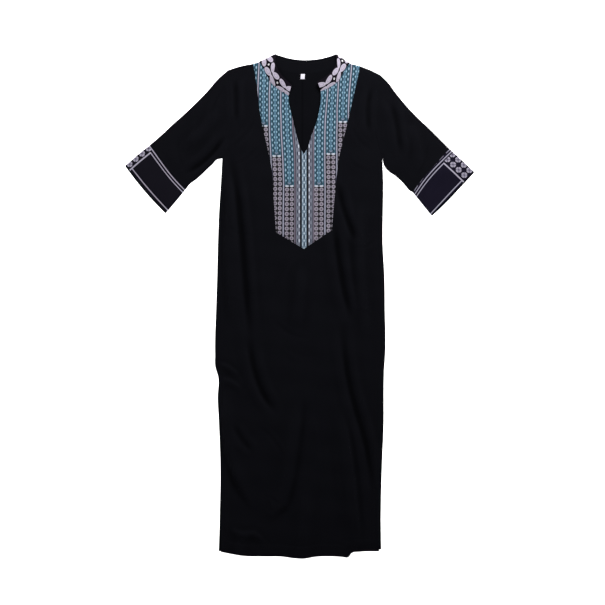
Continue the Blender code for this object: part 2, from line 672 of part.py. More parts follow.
def build_collar(materials):
    """The stand collar: one band round the neck, folded flat at both sides."""
    rows = collar_rows()
    share = np.linspace(0.0, 1.0, COLLAR_CELLS + 1)
    grid = rows[:, None, :3] + (rows[:, 3:] - rows[:, :3])[:, None, :] * share[None, :, None]
    standing = np.abs(rows[:, 5] - rows[:, 2]) > MM
    grid[:, :, 2] += np.sin(share * math.pi)[None, :] * COLLAR_ARCH * standing[:, None]
    normal = np.cross(np.gradient(grid, axis=0), np.gradient(grid, axis=1))
    normal /= np.linalg.norm(normal, axis=2)[:, :, None]
    half = normal * BAND / 2
    vertices = np.concatenate([(grid + half).reshape(-1, 3), (grid - half).reshape(-1, 3)])
    stations, cells = grid.shape[:2]

    def at(side, station, cell):
        return (side * stations + station) * cells + cell

    faces = []
    for station in range(stations - 1):
        for cell in range(cells - 1):
            for side in (0, 1):
                faces.append((at(side, station, cell), at(side, station, cell + 1),
                              at(side, station + 1, cell + 1), at(side, station + 1, cell)))
        for cell in (0, cells - 1):
            faces.append((at(0, station, cell), at(0, station + 1, cell),
                          at(1, station + 1, cell), at(1, station, cell)))
    for station in (0, stations - 1):
        for cell in range(cells - 1):
            faces.append((at(0, station, cell), at(0, station, cell + 1),
                          at(1, station, cell + 1), at(1, station, cell)))
    make_object("collar", vertices, faces, materials["collar_print"])


def build_label(materials):
    """The small bare label sewn inside the back neck."""
    x, y = place(LABEL_TOP)
    left, right, foot = x - LABEL_WIDTH / 2, x + LABEL_WIDTH / 2, y - LABEL_HEIGHT
    plan = np.array([(left, foot), (right, foot), (right, y), (left, y)])
    underside = np.full(len(plan), CREPE + SEAM_GAP)
    topside = underside + LABEL_CLOTH
    slab("label", plan, [(0, 1, 2), (0, 2, 3)], underside, topside, materials["label_tape"])


def make_materials():
    """One material for each cloth."""
    made = {}
    for name, (colour, roughness) in MATERIALS.items():
        material = bpy.data.materials.new(name)
        material.use_nodes = True
        shader = material.node_tree.nodes["Principled BSDF"]
        shader.inputs["Base Color"].default_value = (*colour, 1.0)
        shader.inputs["Roughness"].default_value = roughness
        shader.inputs["Metallic"].default_value = 0.0
        made[name] = material
    return made


def main():
    for old in list(bpy.data.objects):
        bpy.data.objects.remove(old)
    materials = make_materials()
    build_front_and_yoke(materials)
    build_back(materials)
    build_sleeves(materials)
    build_collar(materials)
    build_label(materials)


main()
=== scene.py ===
# The looks of a summer dress that lies flat and face up on a pale floor at z = 0.
# Tables are in centimetres, as a maker measures them: across from the centre front line, and up
# from the lowest point of the hem. Left and right are as seen from above.

import math

import bmesh
import bpy
import numpy as np
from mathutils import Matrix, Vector
from mathutils.geometry import delaunay_2d_cdt


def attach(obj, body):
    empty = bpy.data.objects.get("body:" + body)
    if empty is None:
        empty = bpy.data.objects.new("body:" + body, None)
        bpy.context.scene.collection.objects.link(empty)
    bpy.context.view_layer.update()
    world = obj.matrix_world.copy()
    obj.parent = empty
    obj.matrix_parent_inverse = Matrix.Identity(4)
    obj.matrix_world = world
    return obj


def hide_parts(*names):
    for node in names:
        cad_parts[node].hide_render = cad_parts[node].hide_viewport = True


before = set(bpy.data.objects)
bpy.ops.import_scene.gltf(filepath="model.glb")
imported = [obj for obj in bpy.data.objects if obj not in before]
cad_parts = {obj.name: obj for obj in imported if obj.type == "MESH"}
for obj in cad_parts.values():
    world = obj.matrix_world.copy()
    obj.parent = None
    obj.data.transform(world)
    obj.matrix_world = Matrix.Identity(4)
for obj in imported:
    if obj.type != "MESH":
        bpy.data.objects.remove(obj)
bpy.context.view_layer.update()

CM = 0.01
MM = 0.001

# The garment's own sizes, as in its solids
LENGTH = 138.83 * CM
LEFT_REACH = 48.9 * CM
RIGHT_REACH = 46.7 * CM
CENTRE_FRONT = (LEFT_REACH - RIGHT_REACH) / 2
HEM_LINE = -LENGTH / 2

CREPE = 1.2 * MM
BAND = 1.4 * MM
YOKE_CLOTH = 1.0 * MM
SEAM_GAP = 0.3 * MM
PUFF = 4.0 * MM
PUFF_REACH = 45 * MM
RIPPLE = 0.35 * MM
RIPPLE_REACH = 25 * MM
RIPPLE_WAVES = ((58, 23, 0.7), (31, -49, 2.1), (12, 83, 4.0))
SOFTENING = 0.8 * MM

# How finely the cloth is cut here
EDGE_STEP = 5 * MM
FRONT_CELL = 4.6 * MM
YOKE_CELL = 3.2 * MM
BACK_CELL = 9 * MM
CELL_CLEAR = 0.62
CURVE_SAMPLES = 24
POINTS_AT_A_TIME = 3000
LEAST_LENGTH = 1e-9
SAME_PLACE = 1e-7
TUBE_CELLS = 60
SLEEVE_STATIONS = 64
CUFF_STATIONS = 24
SIDE_STEPS = 4
COLLAR_FRONT_STATIONS = 70
COLLAR_BACK_STATIONS = 70
COLLAR_CELLS = 12

# How edges and seams are finished
EDGE_DROP = 0.45 * MM
EDGE_ROUND = 2.2 * MM
TUCK = 3 * MM
TUCK_SQUEEZE = 0.6 * MM
SEAM_DIP = 0.35 * MM
SEAM_DIP_FADE = 2 * MM
HEM_DEPTH = 33 * MM
SLIT_HEM_DEPTH = 22 * MM
SLIT_FOOT_POINTS = 8
HEM_CLOTH = 0.5 * MM
HEM_STEP = 2 * MM
STITCH_GROOVE = 0.35 * MM
GROOVE_WIDTH = 1.6 * MM
BESIDE_GROOVE = (-2.6 * MM, 0.0, 2.6 * MM)
CLOSED_GAP = 0.2 * MM
CLOSED_REACH = 3 * MM
LEAST_WALL = 0.5 * MM
SIDE_REACH = 1.0
INNER_SIDE_REACH = 0.4
INNER_INSET = 1.3
YOKE_STITCHES = 2.4 * MM
BESIDE_YOKE_STITCHES = (1.2 * MM, YOKE_STITCHES, 3.6 * MM)
YOKE_GROOVE = 0.3 * MM
YOKE_GROOVE_WIDTH = 1.2 * MM
SHARP_ANGLE = math.radians(55)

# The pressed line that shows inside the neck, drawn as painted shade: where it is, how wide and how
# dark, and the painted shade of the whole back panel, which shows inside the neck
PRESSED_LINE = ((-0.3, 108.0), (-0.3, 132.4))
PRESSED_COLUMNS = np.arange(-12, 6, 2) * MM
PRESSED_ROWS = np.linspace(1.08, 1.325, 60)
PRESSED_CLEAR = 12 * MM
PRESSED_AT = -4.0
PRESSED_WIDTH = 2.5
PRESSED_FROM = 1090
PRESSED_FADE = 60
PAINTED_PRESSED_SHADE = 0.25
PAINTED_INSIDE_SHADE = 0.82

# Painted shade in a crease and painted highlight on a ridge: how much the cloth's colour darkens or
# lightens for each mm that the fold stands out, how far off that is judged, and the limits
PAINTED_SHADE_FOR_MM = 0.22
PAINTED_SHADE_REACH = 15 * MM
PAINTED_SHADE_LIMITS = (0.42, 1.06)

# Body: the height of each section and the reach of each side
BODY = (
    # section, height, back left, back right, front left, front right
    ("underarm", 110.0, 22.4, 21.6, 22.4, 21.6),
    ("chest", 103.0, 22.8, 21.85, 22.8, 21.85),
    ("ribs", 95.0, 23.3, 21.75, 23.3, 21.75),
    ("waist", 87.0, 23.6, 21.7, 23.6, 21.7),
    ("high hip", 77.0, 23.85, 22.2, 23.85, 22.2),
    ("hip", 69.0, 24.1, 22.3, 24.1, 22.3),
    ("seat", 56.5, 24.4, 22.4, 24.4, 22.4),
    ("above slit", 52.2, 24.2, 22.1, 24.2, 22.1),
    ("slit top", 50.2, 23.6, 22.05, 23.3, 21.9),
    ("thigh", 44.2, 23.7, 22.0, 23.3, 21.7),
    ("knee", 38.0, 23.4, 22.0, 23.0, 21.6),
    ("calf", 25.0, 22.95, 21.5, 22.5, 21.0),
    ("ankle", 11.0, 23.15, 21.2, 22.6, 20.8),
    ("hem", 2.3, 23.4, 21.3, 22.8, 20.7),
)
SLIT_TOP = 50.2

# The sides of the body: the column of each in the table, and its way from the centre front
BACK_LEFT = (2, -1)
BACK_RIGHT = (3, 1)
FRONT_LEFT = (4, -1)
FRONT_RIGHT = (5, 1)

# Hems, from left to right
FRONT_HEM = (
    (-22.8, 1.85), (-20.6, 1.4), (-15.9, 0.7), (-10.5, 0.6), (-6.0, 0.55), (-2.6, 0.1),
    (-0.2, 0.0), (3.1, 0.5), (10.2, 0.5), (12.2, 0.35), (13.2, 1.55), (15.5, 1.9), (20.7, 2.0))
BACK_HEM = ((-23.4, 2.0), (-12.0, 1.9), (0.0, 1.6), (12.0, 2.2), (21.3, 2.5))

# Shoulders, from the neck to the yoke's corner and on to the armhole
SHOULDER_LEFT = (((-12.0, 136.5), (-13.9, 136.0)), ((-13.9, 136.0), (-17.5, 135.3), (-20.95, 134.2)))
SHOULDER_RIGHT = (((12.4, 136.1), (15.5, 135.35)), ((15.5, 135.35), (18.2, 134.3), (21.1, 132.9)))

# Armhole seams, from the shoulder to the underarm
ARMHOLE_LEFT = (
    (-20.95, 134.2), (-20.9, 130.3), (-20.4, 124.4), (-20.3, 119.0), (-21.3, 114.8), (-22.4, 110.0))
ARMHOLE_RIGHT = (
    (21.1, 132.9), (20.6, 130.3), (19.8, 126.4), (19.3, 122.5), (19.7, 117.0), (21.6, 110.0))

# Neckline seam of the front, from the notch up to the shoulder, and of the back, left to right
NECK_LEFT = ((-4.2, 127.2), (-6.0, 128.3), (-8.3, 130.0), (-9.4, 131.3), (-10.3, 133.2), (-12.0, 136.5))
NECK_RIGHT = ((4.7, 128.4), (6.1, 129.0), (7.8, 129.9), (9.5, 131.3), (10.7, 133.3), (12.4, 136.1))
NECK_BACK = (
    (-12.0, 136.5), (-8.3, 135.1), (-4.3, 133.9), (-0.2, 133.4), (4.1, 133.8), (8.4, 134.8),
    (12.4, 136.1))

# The notch below the collar, each edge from its foot upwards
NOTCH_FOOT = (0.0, 111.0)
NOTCH_LEFT = (NOTCH_FOOT, (-1.2, 113.5), (-2.1, 116.7), (-3.1, 121.0), (-4.0, 124.9), (-4.2, 127.2))
NOTCH_RIGHT = (
    NOTCH_FOOT, (1.0, 112.9), (2.1, 116.3), (3.3, 119.4), (4.2, 122.9), (4.7, 126.4), (4.7, 128.4))

# Outer edges of the yoke, from the shoulder down to its tip
YOKE_TIP = (0.0, 85.1)
YOKE_LEFT = (
    ((-13.9, 136.0), (-12.9, 129.8), (-11.8, 121.0), (-9.9, 112.5), (-8.8, 107.0), (-8.2, 98.0),
     (-7.6, 89.7)),
    ((-7.6, 89.7), YOKE_TIP))
YOKE_RIGHT = (
    ((15.5, 135.35), (13.4, 126.0), (11.8, 119.0), (9.6, 109.8), (8.7, 102.1), (7.7, 90.3)),
    ((7.7, 90.3), YOKE_TIP))

# Sleeves and cuffs: a row for each section, with its end on the upper fold and on the lower seam
SLEEVE_LEFT = (
    # section, upper across, upper height, lower across, lower height
    ("armhole", -20.95, 134.2, -22.4, 110.0),
    ("cap", -23.9, 131.5, -24.0, 109.6),
    ("below cap", -26.4, 128.6, -25.0, 108.5),
    ("bicep", -29.4, 125.5, -26.5, 107.1),
    ("upper arm", -32.4, 122.6, -27.9, 105.7),
    ("above elbow", -36.0, 119.4, -29.6, 104.2),
    ("elbow", -39.35, 116.25, -31.35, 102.9),
    ("cuff seam", -42.3, 113.7, -32.5, 101.45),
)
SLEEVE_RIGHT = (
    ("armhole", 21.1, 132.9, 21.6, 110.0),
    ("cap", 23.3, 130.7, 22.15, 107.9),
    ("below cap", 25.2, 128.1, 23.5, 106.3),
    ("bicep", 28.1, 124.6, 25.15, 105.2),
    ("upper arm", 31.3, 121.2, 26.6, 103.9),
    ("above elbow", 34.7, 118.0, 28.0, 102.4),
    ("elbow", 37.4, 115.3, 29.0, 101.2),
    ("cuff seam", 40.0, 112.7, 29.9, 100.75),
)
CUFF_LEFT = (
    ("cuff seam", -42.3, 113.7, -32.5, 101.45),
    ("middle", -45.65, 111.0, -35.1, 98.25),
    ("opening", -48.9, 108.2, -37.75, 95.1),
)
CUFF_RIGHT = (
    ("cuff seam", 40.0, 112.7, 29.9, 100.75),
    ("middle", 43.4, 109.6, 32.5, 97.5),
    ("opening", 46.7, 106.5, 34.95, 94.45),
)

# How a cuff's seam and its opening bow towards the hand, between the two folds: mm of one arch
# and mm of a wave, whose upper half is raised
CUFF_BOWS = {
    "left": ((3.6, -0.9), (3.7, 0.0)),
    "right": ((-2.2, 0.8), (1.9, -0.4)),
}

CUFF_UNDERLAP = 4 * MM

# Collar: the top edge at each station, and how far its front parts stand above the seam
COLLAR_FRONT_LEFT = (
    # top across, top height, rise
    (-3.35, 130.0, 5.0), (-5.0, 131.6, 7.0), (-6.4, 133.1, 8.0), (-7.2, 134.5, 7.5),
    (-7.8, 136.2, 5.0), (-7.7, 138.6, 0.6))
COLLAR_BACK = (
    # top across, top height
    (-7.6, 138.6), (-5.6, 137.95), (-3.0, 137.35), (0.2, 137.05), (3.5, 137.25), (6.4, 137.85),
    (8.6, 138.6))
COLLAR_FRONT_RIGHT = (
    # top across, top height, rise
    (8.7, 138.6, 0.6), (9.1, 136.6, 5.0), (8.4, 134.9, 7.5), (7.2, 133.3, 8.0),
    (5.6, 132.1, 7.0), (3.75, 131.0, 5.0))
COLLAR_ARCH = 1.2 * MM
COLLAR_STANDS = 3 * MM
COLLAR_TUCK = -0.07
FRONT_TUCK = 1.0 * MM
BACK_TUCK = 0.1 * MM
SEAM_HALF = 0.35 * MM
TOP_HALF = 0.45 * MM
FOLD_HEIGHT = 3.4 * MM
FOLD_TURNS = 14

LABEL_WIDTH = 11.2 * MM
LABEL_HEIGHT = 14.0 * MM
LABEL_TOP = (-0.3, 133.2)
LABEL_CLOTH = 0.5 * MM
LABEL_GAP = 0.1 * MM
LABEL_LEAN = 0.9 * MM
LABEL_BULGE = 0.5 * MM
LABEL_COLUMNS = 12
LABEL_ROWS = 16

# Folds of the upper layer, on the courses of the solids' folds and some of them a little lower:
# height over the cloth beside it (below zero is a valley with raised shoulders), width on each
# side of the course, and the course in cm
FOLDS = (
    # name, height mm, left width mm, right width mm, course
    ("left side crease", -4.6, 11, 12,
     ((-20.5, 113.5), (-18.3, 100.5), (-16.6, 84.0), (-15.5, 70.0), (-14.2, 57.0))),
    ("left side crease foot", -3.8, 13, 11,
     ((-15.2, 62.0), (-13.2, 50.5), (-9.8, 43.0), (-6.5, 39.5))),
    ("left side swell", 5.0, 22, 13, ((-19.6, 108.0), (-20.6, 92.0), (-20.2, 76.0), (-18.8, 62.0))),
    ("breast crease", -3.4, 10, 10, ((9.6, 104.0), (10.6, 97.5), (12.2, 92.5), (14.4, 86.5))),
    ("right crease", -4.6, 11, 12, ((8.2, 94.0), (9.6, 83.0), (11.0, 74.5), (13.4, 64.0))),
    ("right swell", 5.6, 20, 11, ((15.6, 99.0), (15.0, 84.0), (16.0, 70.0), (17.2, 58.0))),
    ("right thigh crease", -4.4, 12, 11,
     ((10.6, 66.0), (11.8, 52.0), (13.6, 43.4), (16.8, 32.6), (19.6, 15.0))),
    ("pleat by the hem", 5.6, 9, 26,
     ((9.8, 43.0), (11.4, 35.3), (12.6, 27.5), (13.8, 17.0), (15.2, 1.5))),
    ("tongue left side", 6.4, 30, 10,
     ((-22.0, 47.5), (-21.4, 36.6), (-19.7, 26.0), (-16.4, 18.4), (-12.3, 13.3))),
    ("tongue right side", 6.4, 30, 10,
     ((-12.3, 13.3), (-9.2, 12.4), (-6.3, 14.0), (-4.4, 19.5), (-2.9, 28.0), (-1.0, 46.0))),
    ("tongue inner crease", -1.4, 10, 10, ((-19.4, 37.5), (-17.0, 33.0), (-13.4, 29.0))),
    ("hem crumple", 2.4, 9, 9, ((-20.4, 8.6), (-17.0, 6.6), (-13.6, 6.8), (-10.4, 3.2))),
    ("hem wave left", 2.6, 16, 16, ((-16.0, 9.0), (-17.2, 4.6), (-17.6, -3.0))),
    ("hem wave middle", 3.0, 22, 22, ((1.2, 22.0), (0.2, 9.0), (-0.4, -6.0))),
    ("slit wrinkle upper", 2.4, 7, 7, ((-23.6, 53.6), (-20.6, 52.4), (-17.8, 50.0))),
    ("slit wrinkle lower", 2.0, 7, 7, ((-23.4, 49.0), (-20.2, 48.6), (-17.0, 46.4))),
    ("front ridge", 3.6, 18, 14, ((-0.4, 82.0), (-1.2, 73.0), (-2.6, 60.0))),
    ("left armhole crease", -2.4, 8, 8, ((-18.9, 132.6), (-18.7, 126.0), (-18.6, 119.0))),
    ("right armhole crease", -2.4, 8, 8, ((18.4, 130.0), (17.6, 124.0), (17.9, 116.0))),
    ("left sleeve crease", -3.0, 10, 10,
     ((-21.6, 116.6), (-24.6, 112.2), (-28.4, 108.6), (-33.4, 105.6))),
    ("left sleeve swell", 3.6, 16, 16, ((-23.0, 124.0), (-28.0, 117.6), (-34.2, 112.0))),
    ("right sleeve crease", -2.6, 10, 10, ((23.8, 127.0), (25.6, 119.0), (26.8, 110.0))),
    ("right sleeve swell", 3.0, 17, 14, ((29.0, 120.6), (31.0, 113.4), (31.6, 106.0))),
)
FOLD_TAPER = 0.3
FOLD_PIECES = 10

# Smaller creases that only show from near by, and the share of their heights that is built
CREASE_SHARE = 0.4
CREASES = (
    # name, height mm, left width mm, right width mm, course
    ("left shoulder pull", 0.9, 5, 7, ((-15.6, 133.6), (-17.4, 128.4), (-18.0, 122.6))),
    ("left chest drag", -0.8, 5, 5, ((-13.2, 121.0), (-16.4, 116.2), (-20.2, 112.8))),
    ("left chest second drag", -0.7, 4, 5, ((-12.2, 114.0), (-15.6, 110.0), (-20.6, 107.6))),
    ("right shoulder pull", 0.9, 6, 5, ((16.4, 132.2), (17.0, 127.0), (16.6, 121.2))),
    ("right chest drag", -0.8, 5, 5, ((12.6, 120.0), (15.4, 115.0), (19.4, 111.8))),
    ("right chest second drag", -0.7, 5, 4, ((11.6, 111.2), (15.2, 107.4), (19.8, 106.0))),
    ("yoke tip pull", 0.7, 6, 6, ((-1.6, 84.0), (-4.6, 79.4), (-6.2, 72.6))),
    ("left waist pull", -0.9, 5, 6, ((-22.6, 92.4), (-18.2, 89.6), (-12.6, 88.4))),
    ("left hip pull", 0.9, 6, 5, ((-22.8, 73.8), (-17.0, 71.2), (-10.4, 71.8))),
    ("right waist pull", -0.8, 5, 5, ((20.2, 88.2), (16.8, 85.8), (12.4, 85.4))),
    ("right hip pull", 0.8, 6, 6, ((21.0, 66.4), (17.6, 68.8), (12.2, 69.2))),
    ("lap drag", -0.8, 6, 6, ((-8.6, 66.0), (-3.4, 61.8), (3.0, 60.4))),
    ("lap second drag", 0.8, 5, 6, ((-6.4, 58.0), (-1.2, 55.0), (5.4, 54.8))),
    ("left knee pull", -0.8, 5, 5, ((-12.6, 37.0), (-8.4, 33.0), (-5.0, 27.4))),
    ("shin drag", 0.7, 6, 6, ((2.6, 41.0), (4.0, 32.0), (4.4, 24.0))),
    ("shin second drag", -0.8, 5, 5, ((7.2, 34.0), (8.0, 25.0), (8.6, 15.4))),
    ("left slit curl", 0.9, 5, 5, ((-21.6, 32.0), (-21.0, 24.0), (-20.8, 15.6))),
    ("right slit curl", 0.8, 5, 5, ((19.0, 44.0), (18.6, 35.0), (18.8, 27.2))),
    ("left sleeve cap pull", -0.9, 4, 5, ((-22.4, 129.6), (-24.8, 124.0), (-26.6, 118.6))),
    ("left sleeve bend", 0.9, 5, 5, ((-29.6, 122.4), (-30.6, 116.2), (-30.0, 109.8))),
    ("left sleeve second bend", -0.8, 4, 5, ((-34.6, 117.6), (-34.4, 111.6), (-32.6, 106.4))),
    ("left cuff pull", 0.7, 5, 5, ((-39.4, 112.0), (-37.6, 107.4), (-36.6, 102.6))),
    ("right sleeve cap pull", -0.9, 5, 4, ((22.2, 128.4), (23.4, 121.0), (23.6, 114.0))),
    ("right sleeve bend", 0.9, 5, 5, ((29.6, 119.8), (28.8, 113.6), (27.6, 108.2))),
    ("right sleeve second bend", -0.8, 5, 4, ((34.0, 115.6), (33.4, 110.0), (31.2, 104.8))),
    ("right cuff pull", 0.7, 5, 5, ((38.8, 110.6), (37.2, 105.4), (35.0, 100.8))),
)


def place(points):
    """Maker's centimetres as metres in the frame."""
    return np.array(points, float) * CM + (CENTRE_FRONT, HEM_LINE)


def smooth_line(points, pieces):
    """A smooth curve through the points, in so many equal pieces."""
    knots = np.array(points, float)
    reach = walk(knots)
    slopes = np.gradient(knots, reach, axis=0)
    samples = np.linspace(0.0, reach[-1], CURVE_SAMPLES * len(knots))
    left = np.clip(np.searchsorted(reach, samples, side="right") - 1, 0, len(knots) - 2)
    span = (reach[left + 1] - reach[left])[:, None]
    t = (samples - reach[left])[:, None] / span
    curve = ((2 * t**3 - 3 * t**2 + 1) * knots[left] + (t**3 - 2 * t**2 + t) * span * slopes[left]
             + (3 * t**2 - 2 * t**3) * knots[left + 1] + (t**3 - t**2) * span * slopes[left + 1])
    walked = walk(curve)
    even = np.linspace(0.0, walked[-1], pieces + 1)
    return np.stack([np.interp(even, walked, curve[:, axis]) for axis in range(curve.shape[1])], axis=1)


def walk(points):
    """How far along a run of straight pieces each of its points lies."""
    return np.concatenate([[0.0], np.cumsum(np.linalg.norm(np.diff(points, axis=0), axis=1))])


def line_length(points):
    """Length of a run of straight pieces."""
    return float(np.linalg.norm(np.diff(points, axis=0), axis=1).sum())


def seam(points, step=EDGE_STEP):
    """A seam or edge in the frame, cut into pieces about one step long."""
    line = place(points)
    return smooth_line(line, max(1, round(line_length(line) / step)))


def join(*lines):
    """One line from several that meet end to end."""
    return np.concatenate([lines[0], *(line[1:] for line in lines[1:])])


def loop(outline):
    """An outline with its first point once more at its end."""
    return np.concatenate([outline, outline[:1]])


def body_side(side, lowest=0.0, highest=LENGTH / CM):
    """A side edge of the body from the underarm down to the hem, or a part of it."""
    column, sign = side
    return seam([(sign * row[column], row[1]) for row in BODY if lowest < row[1] <= highest])


def sleeve_edges(rows):
    """The upper and the lower edge of a sleeve or cuff, in the frame."""
    upper = place([(row[1], row[2]) for row in rows])
    lower = place([(row[3], row[4]) for row in rows])
    return upper, lower


def garment_outline():
    """The whole garment's outline in plan, closed."""
    upper_left, lower_left = sleeve_edges(SLEEVE_LEFT)
    upper_right, lower_right = sleeve_edges(SLEEVE_RIGHT)
    cuff_upper_left, cuff_lower_left = sleeve_edges(CUFF_LEFT)
    cuff_upper_right, cuff_lower_right = sleeve_edges(CUFF_RIGHT)
    return loop(np.concatenate([
        seam(FRONT_HEM), body_side(BACK_RIGHT)[::-1], lower_right, cuff_lower_right[1:],
        cuff_upper_right[::-1], upper_right[::-1], seam(SHOULDER_RIGHT[0])[::-1],
        seam(NECK_BACK)[::-1], seam(SHOULDER_LEFT[0]), upper_left, cuff_upper_left[1:],
        cuff_lower_left[::-1], lower_left[::-1], body_side(BACK_LEFT)]))


def nearest_on(line, points):
    """For each point: distance to the line, side of it (1 is left) and how far along it, 0 to 1."""
    parts = np.array_split(points, max(1, len(points) // POINTS_AT_A_TIME))
    results = [nearest_part(line, part) for part in parts]
    return tuple(np.concatenate(column) for column in zip(*results))


def distance_to(line, points):
    """For each point: its distance to the line."""
    return nearest_on(line, points)[0]


def nearest_part(line, points):
    """What nearest_on finds, for a few points at a time."""
    starts, ends = line[:-1], line[1:]
    runs = ends - starts
    lengths = np.maximum(np.linalg.norm(runs, axis=1), LEAST_LENGTH)
    offset = points[:, None, :] - starts[None, :, :]
    share = np.clip((offset * runs).sum(axis=2) / lengths**2, 0.0, 1.0)
    away = offset - share[:, :, None] * runs
    distance = np.linalg.norm(away, axis=2)
    best = distance.argmin(axis=1)
    rows = np.arange(len(points))
    cross = runs[best, 0] * offset[rows, best, 1] - runs[best, 1] * offset[rows, best, 0]
    walked = np.concatenate([[0.0], np.cumsum(lengths)])
    along = (walked[best] + share[rows, best] * lengths[best]) / walked[-1]
    return distance[rows, best], np.where(cross >= 0, 1.0, -1.0), along


def ease(value):
    """A smooth step from 0 to 1."""
    t = np.clip(value, 0.0, 1.0)
    return t * t * (3 - 2 * t)


OUTLINE = garment_outline()
FOLD_LINES = [(height * share * MM, left * MM, right * MM, smooth_line(place(course), FOLD_PIECES))
              for table, share in ((FOLDS, 1.0), (CREASES, CREASE_SHARE))
              for _, height, left, right, course in table]


def fold_height(points):
    """Height that all the folds give at each point."""
    total = np.zeros(len(points))
    for height, left, right, line in FOLD_LINES:
        distance, side, along = nearest_on(line, points)
        q = distance / np.where(side > 0, left, right)
        taper = ease(np.minimum(along, 1 - along) / FOLD_TAPER)
        if height < 0:
            profile = (1 - q * q) * np.exp(-q * q / 2)
        else:
            profile = np.exp(-q * q)
        total += height * taper * profile
    return total


def painted_fold_shading(points):
    """Painted shading of each point's colour: below 1 a painted shade in a crease, above 1 a painted
    highlight on a ridge.
    """
    steps = np.array(((1, 0), (-1, 0), (0, 1), (0, -1))) * PAINTED_SHADE_REACH
    around = np.mean([fold_height(points + step) for step in steps], axis=0)
    stands_out = (fold_height(points) - around) / MM
    return np.clip(1.0 + PAINTED_SHADE_FOR_MM * stands_out, *PAINTED_SHADE_LIMITS)


def ripple(points):
    """A faint unevenness that all laid cloth has."""
    x, y = points[:, 0], points[:, 1]
    return sum(np.sin(x * across + y * up + start) for across, up, start in RIPPLE_WAVES) * RIPPLE


def lift(points):
    """How high the upper layer's underside lies over the lower layer's upper side."""
    points = np.asarray(points, float)
    inside = distance_to(OUTLINE, points)
    swell = PUFF * (1 - np.exp(-inside / PUFF_REACH))
    free = swell + fold_height(points) + ripple(points) * (1 - np.exp(-inside / RIPPLE_REACH))
    return SEAM_GAP + (free + np.sqrt(free * free + SOFTENING**2)) / 2


def inside_outline(points, outline):
    """Which of the points lie inside a closed outline."""
    x, y = points[:, 0], points[:, 1]
    hits = np.zeros(len(points), int)
    for (ax, ay), (bx, by) in zip(outline, np.roll(outline, -1, axis=0)):
        if ay != by:
            crosses = (ay > y) != (by > y)
            hits += crosses & (x < (bx - ax) * (y - ay) / (by - ay) + ax)
    return hits % 2 == 1


def cell_points(outline, cell, guides=()):
    """Points of a triangular grid inside the outline, clear of its edge and of the guide lines."""
    low, high = outline.min(axis=0), outline.max(axis=0)
    across = np.arange(low[0], high[0], cell)
    up = np.arange(low[1], high[1], cell * math.sqrt(3) / 2)
    grid_x, grid_y = np.meshgrid(across, up)
    grid_x[1::2] += cell / 2
    found = np.stack([grid_x.ravel(), grid_y.ravel()], axis=1)
    found = found[inside_outline(found, outline)]
    for line in [loop(outline), *guides]:
        found = found[distance_to(line, found) > cell * CELL_CLEAR]
    return found


def beside(line, offset):
    """A line moved sideways, to its left where the offset is above zero."""
    run = np.gradient(line, axis=0)
    across = np.stack([-run[:, 1], run[:, 0]], axis=1) / np.linalg.norm(run, axis=1)[:, None]
    return line + across * offset


def triangulate(outline, loose_points):
    """Triangles that fill an outline in plan."""
    count = len(outline)
    points = [Vector(p) for p in outline] + [Vector(p) for p in loose_points]
    edges = [(i, (i + 1) % count) for i in range(count)]
    flat, _, faces, _, _, _ = delaunay_2d_cdt(points, edges, [list(range(count))], 1, SAME_PLACE)
    return np.array([tuple(p) for p in flat]), [tuple(face) for face in faces]


def make_piece(name, vertices, faces, materials, cloth_at, slots=None):
    """A piece of cloth as a mesh. cloth_at is each vertex's place on the cloth, in mm, and its painted
    shading.
    """
    mesh = bpy.data.meshes.new(name)
    mesh.from_pydata([tuple(map(float, v)) for v in vertices], [], faces)
    for material in materials:
        mesh.materials.append(material)
    if slots is not None:
        mesh.polygons.foreach_set("material_index", slots)
    places = mesh.attributes.new("cloth", "FLOAT_VECTOR", "POINT")
    places.data.foreach_set("vector", np.asarray(cloth_at, np.float32).ravel())
    form = bmesh.new()
    form.from_mesh(mesh)
    bmesh.ops.recalc_face_normals(form, faces=form.faces)
    form.to_mesh(mesh)
    form.free()
    mesh.shade_smooth()
    mesh.set_sharp_from_angle(angle=SHARP_ANGLE)
    piece = bpy.data.objects.new(name, mesh)
    bpy.context.scene.collection.objects.link(piece)
    return piece


def shell(name, plan, faces, underside, topside, materials, cloth_at, painted_shading=None):
    """A closed wall of cloth over plan triangles, between two heights for each point."""
    count = len(plan)
    vertices = np.concatenate([np.column_stack([plan, underside]), np.column_stack([plan, topside])])
    sides = set()
    for a, b, c in faces:
        sides.update(((a, b), (b, c), (c, a)))
    rim = [(a, b) for a, b in sides if (b, a) not in sides]
    walls = [(a, b, b + count, a + count) for a, b in sorted(rim)]
    lower = [face[::-1] for face in faces]
    upper = [tuple(index + count for index in face) for face in faces]
    # the third part of each place is the painted shading of the colour, 1 where none is given
    places = np.column_stack([cloth_at, np.ones(count) if painted_shading is None else painted_shading])
    return make_piece(name, vertices, lower + upper + walls, materials, np.concatenate([places, places]))


def in_mm(points):
    """Places in the frame as millimetres from the centre front line and the hem's lowest point."""
    return (points - (CENTRE_FRONT, HEM_LINE)) / MM


# Lines that several pieces share
HEM = seam(FRONT_HEM)
SLIT_LEFT = body_side(FRONT_LEFT, highest=SLIT_TOP)
SLIT_RIGHT = body_side(FRONT_RIGHT, highest=SLIT_TOP)
ARM_LEFT = smooth_line(place(ARMHOLE_LEFT), TUBE_CELLS)
ARM_RIGHT = smooth_line(place(ARMHOLE_RIGHT), TUBE_CELLS)
YOKE_EDGE = join(seam(YOKE_LEFT[0]), seam(YOKE_LEFT[1]),
                 join(seam(YOKE_RIGHT[0]), seam(YOKE_RIGHT[1]))[::-1])
SHOULDERS = (join(seam(SHOULDER_LEFT[0]), seam(SHOULDER_LEFT[1])),
             join(seam(SHOULDER_RIGHT[0]), seam(SHOULDER_RIGHT[1])))
NECKLINE = join(seam(NECK_RIGHT)[::-1], seam(NOTCH_RIGHT)[::-1], seam(NOTCH_LEFT), seam(NECK_LEFT))


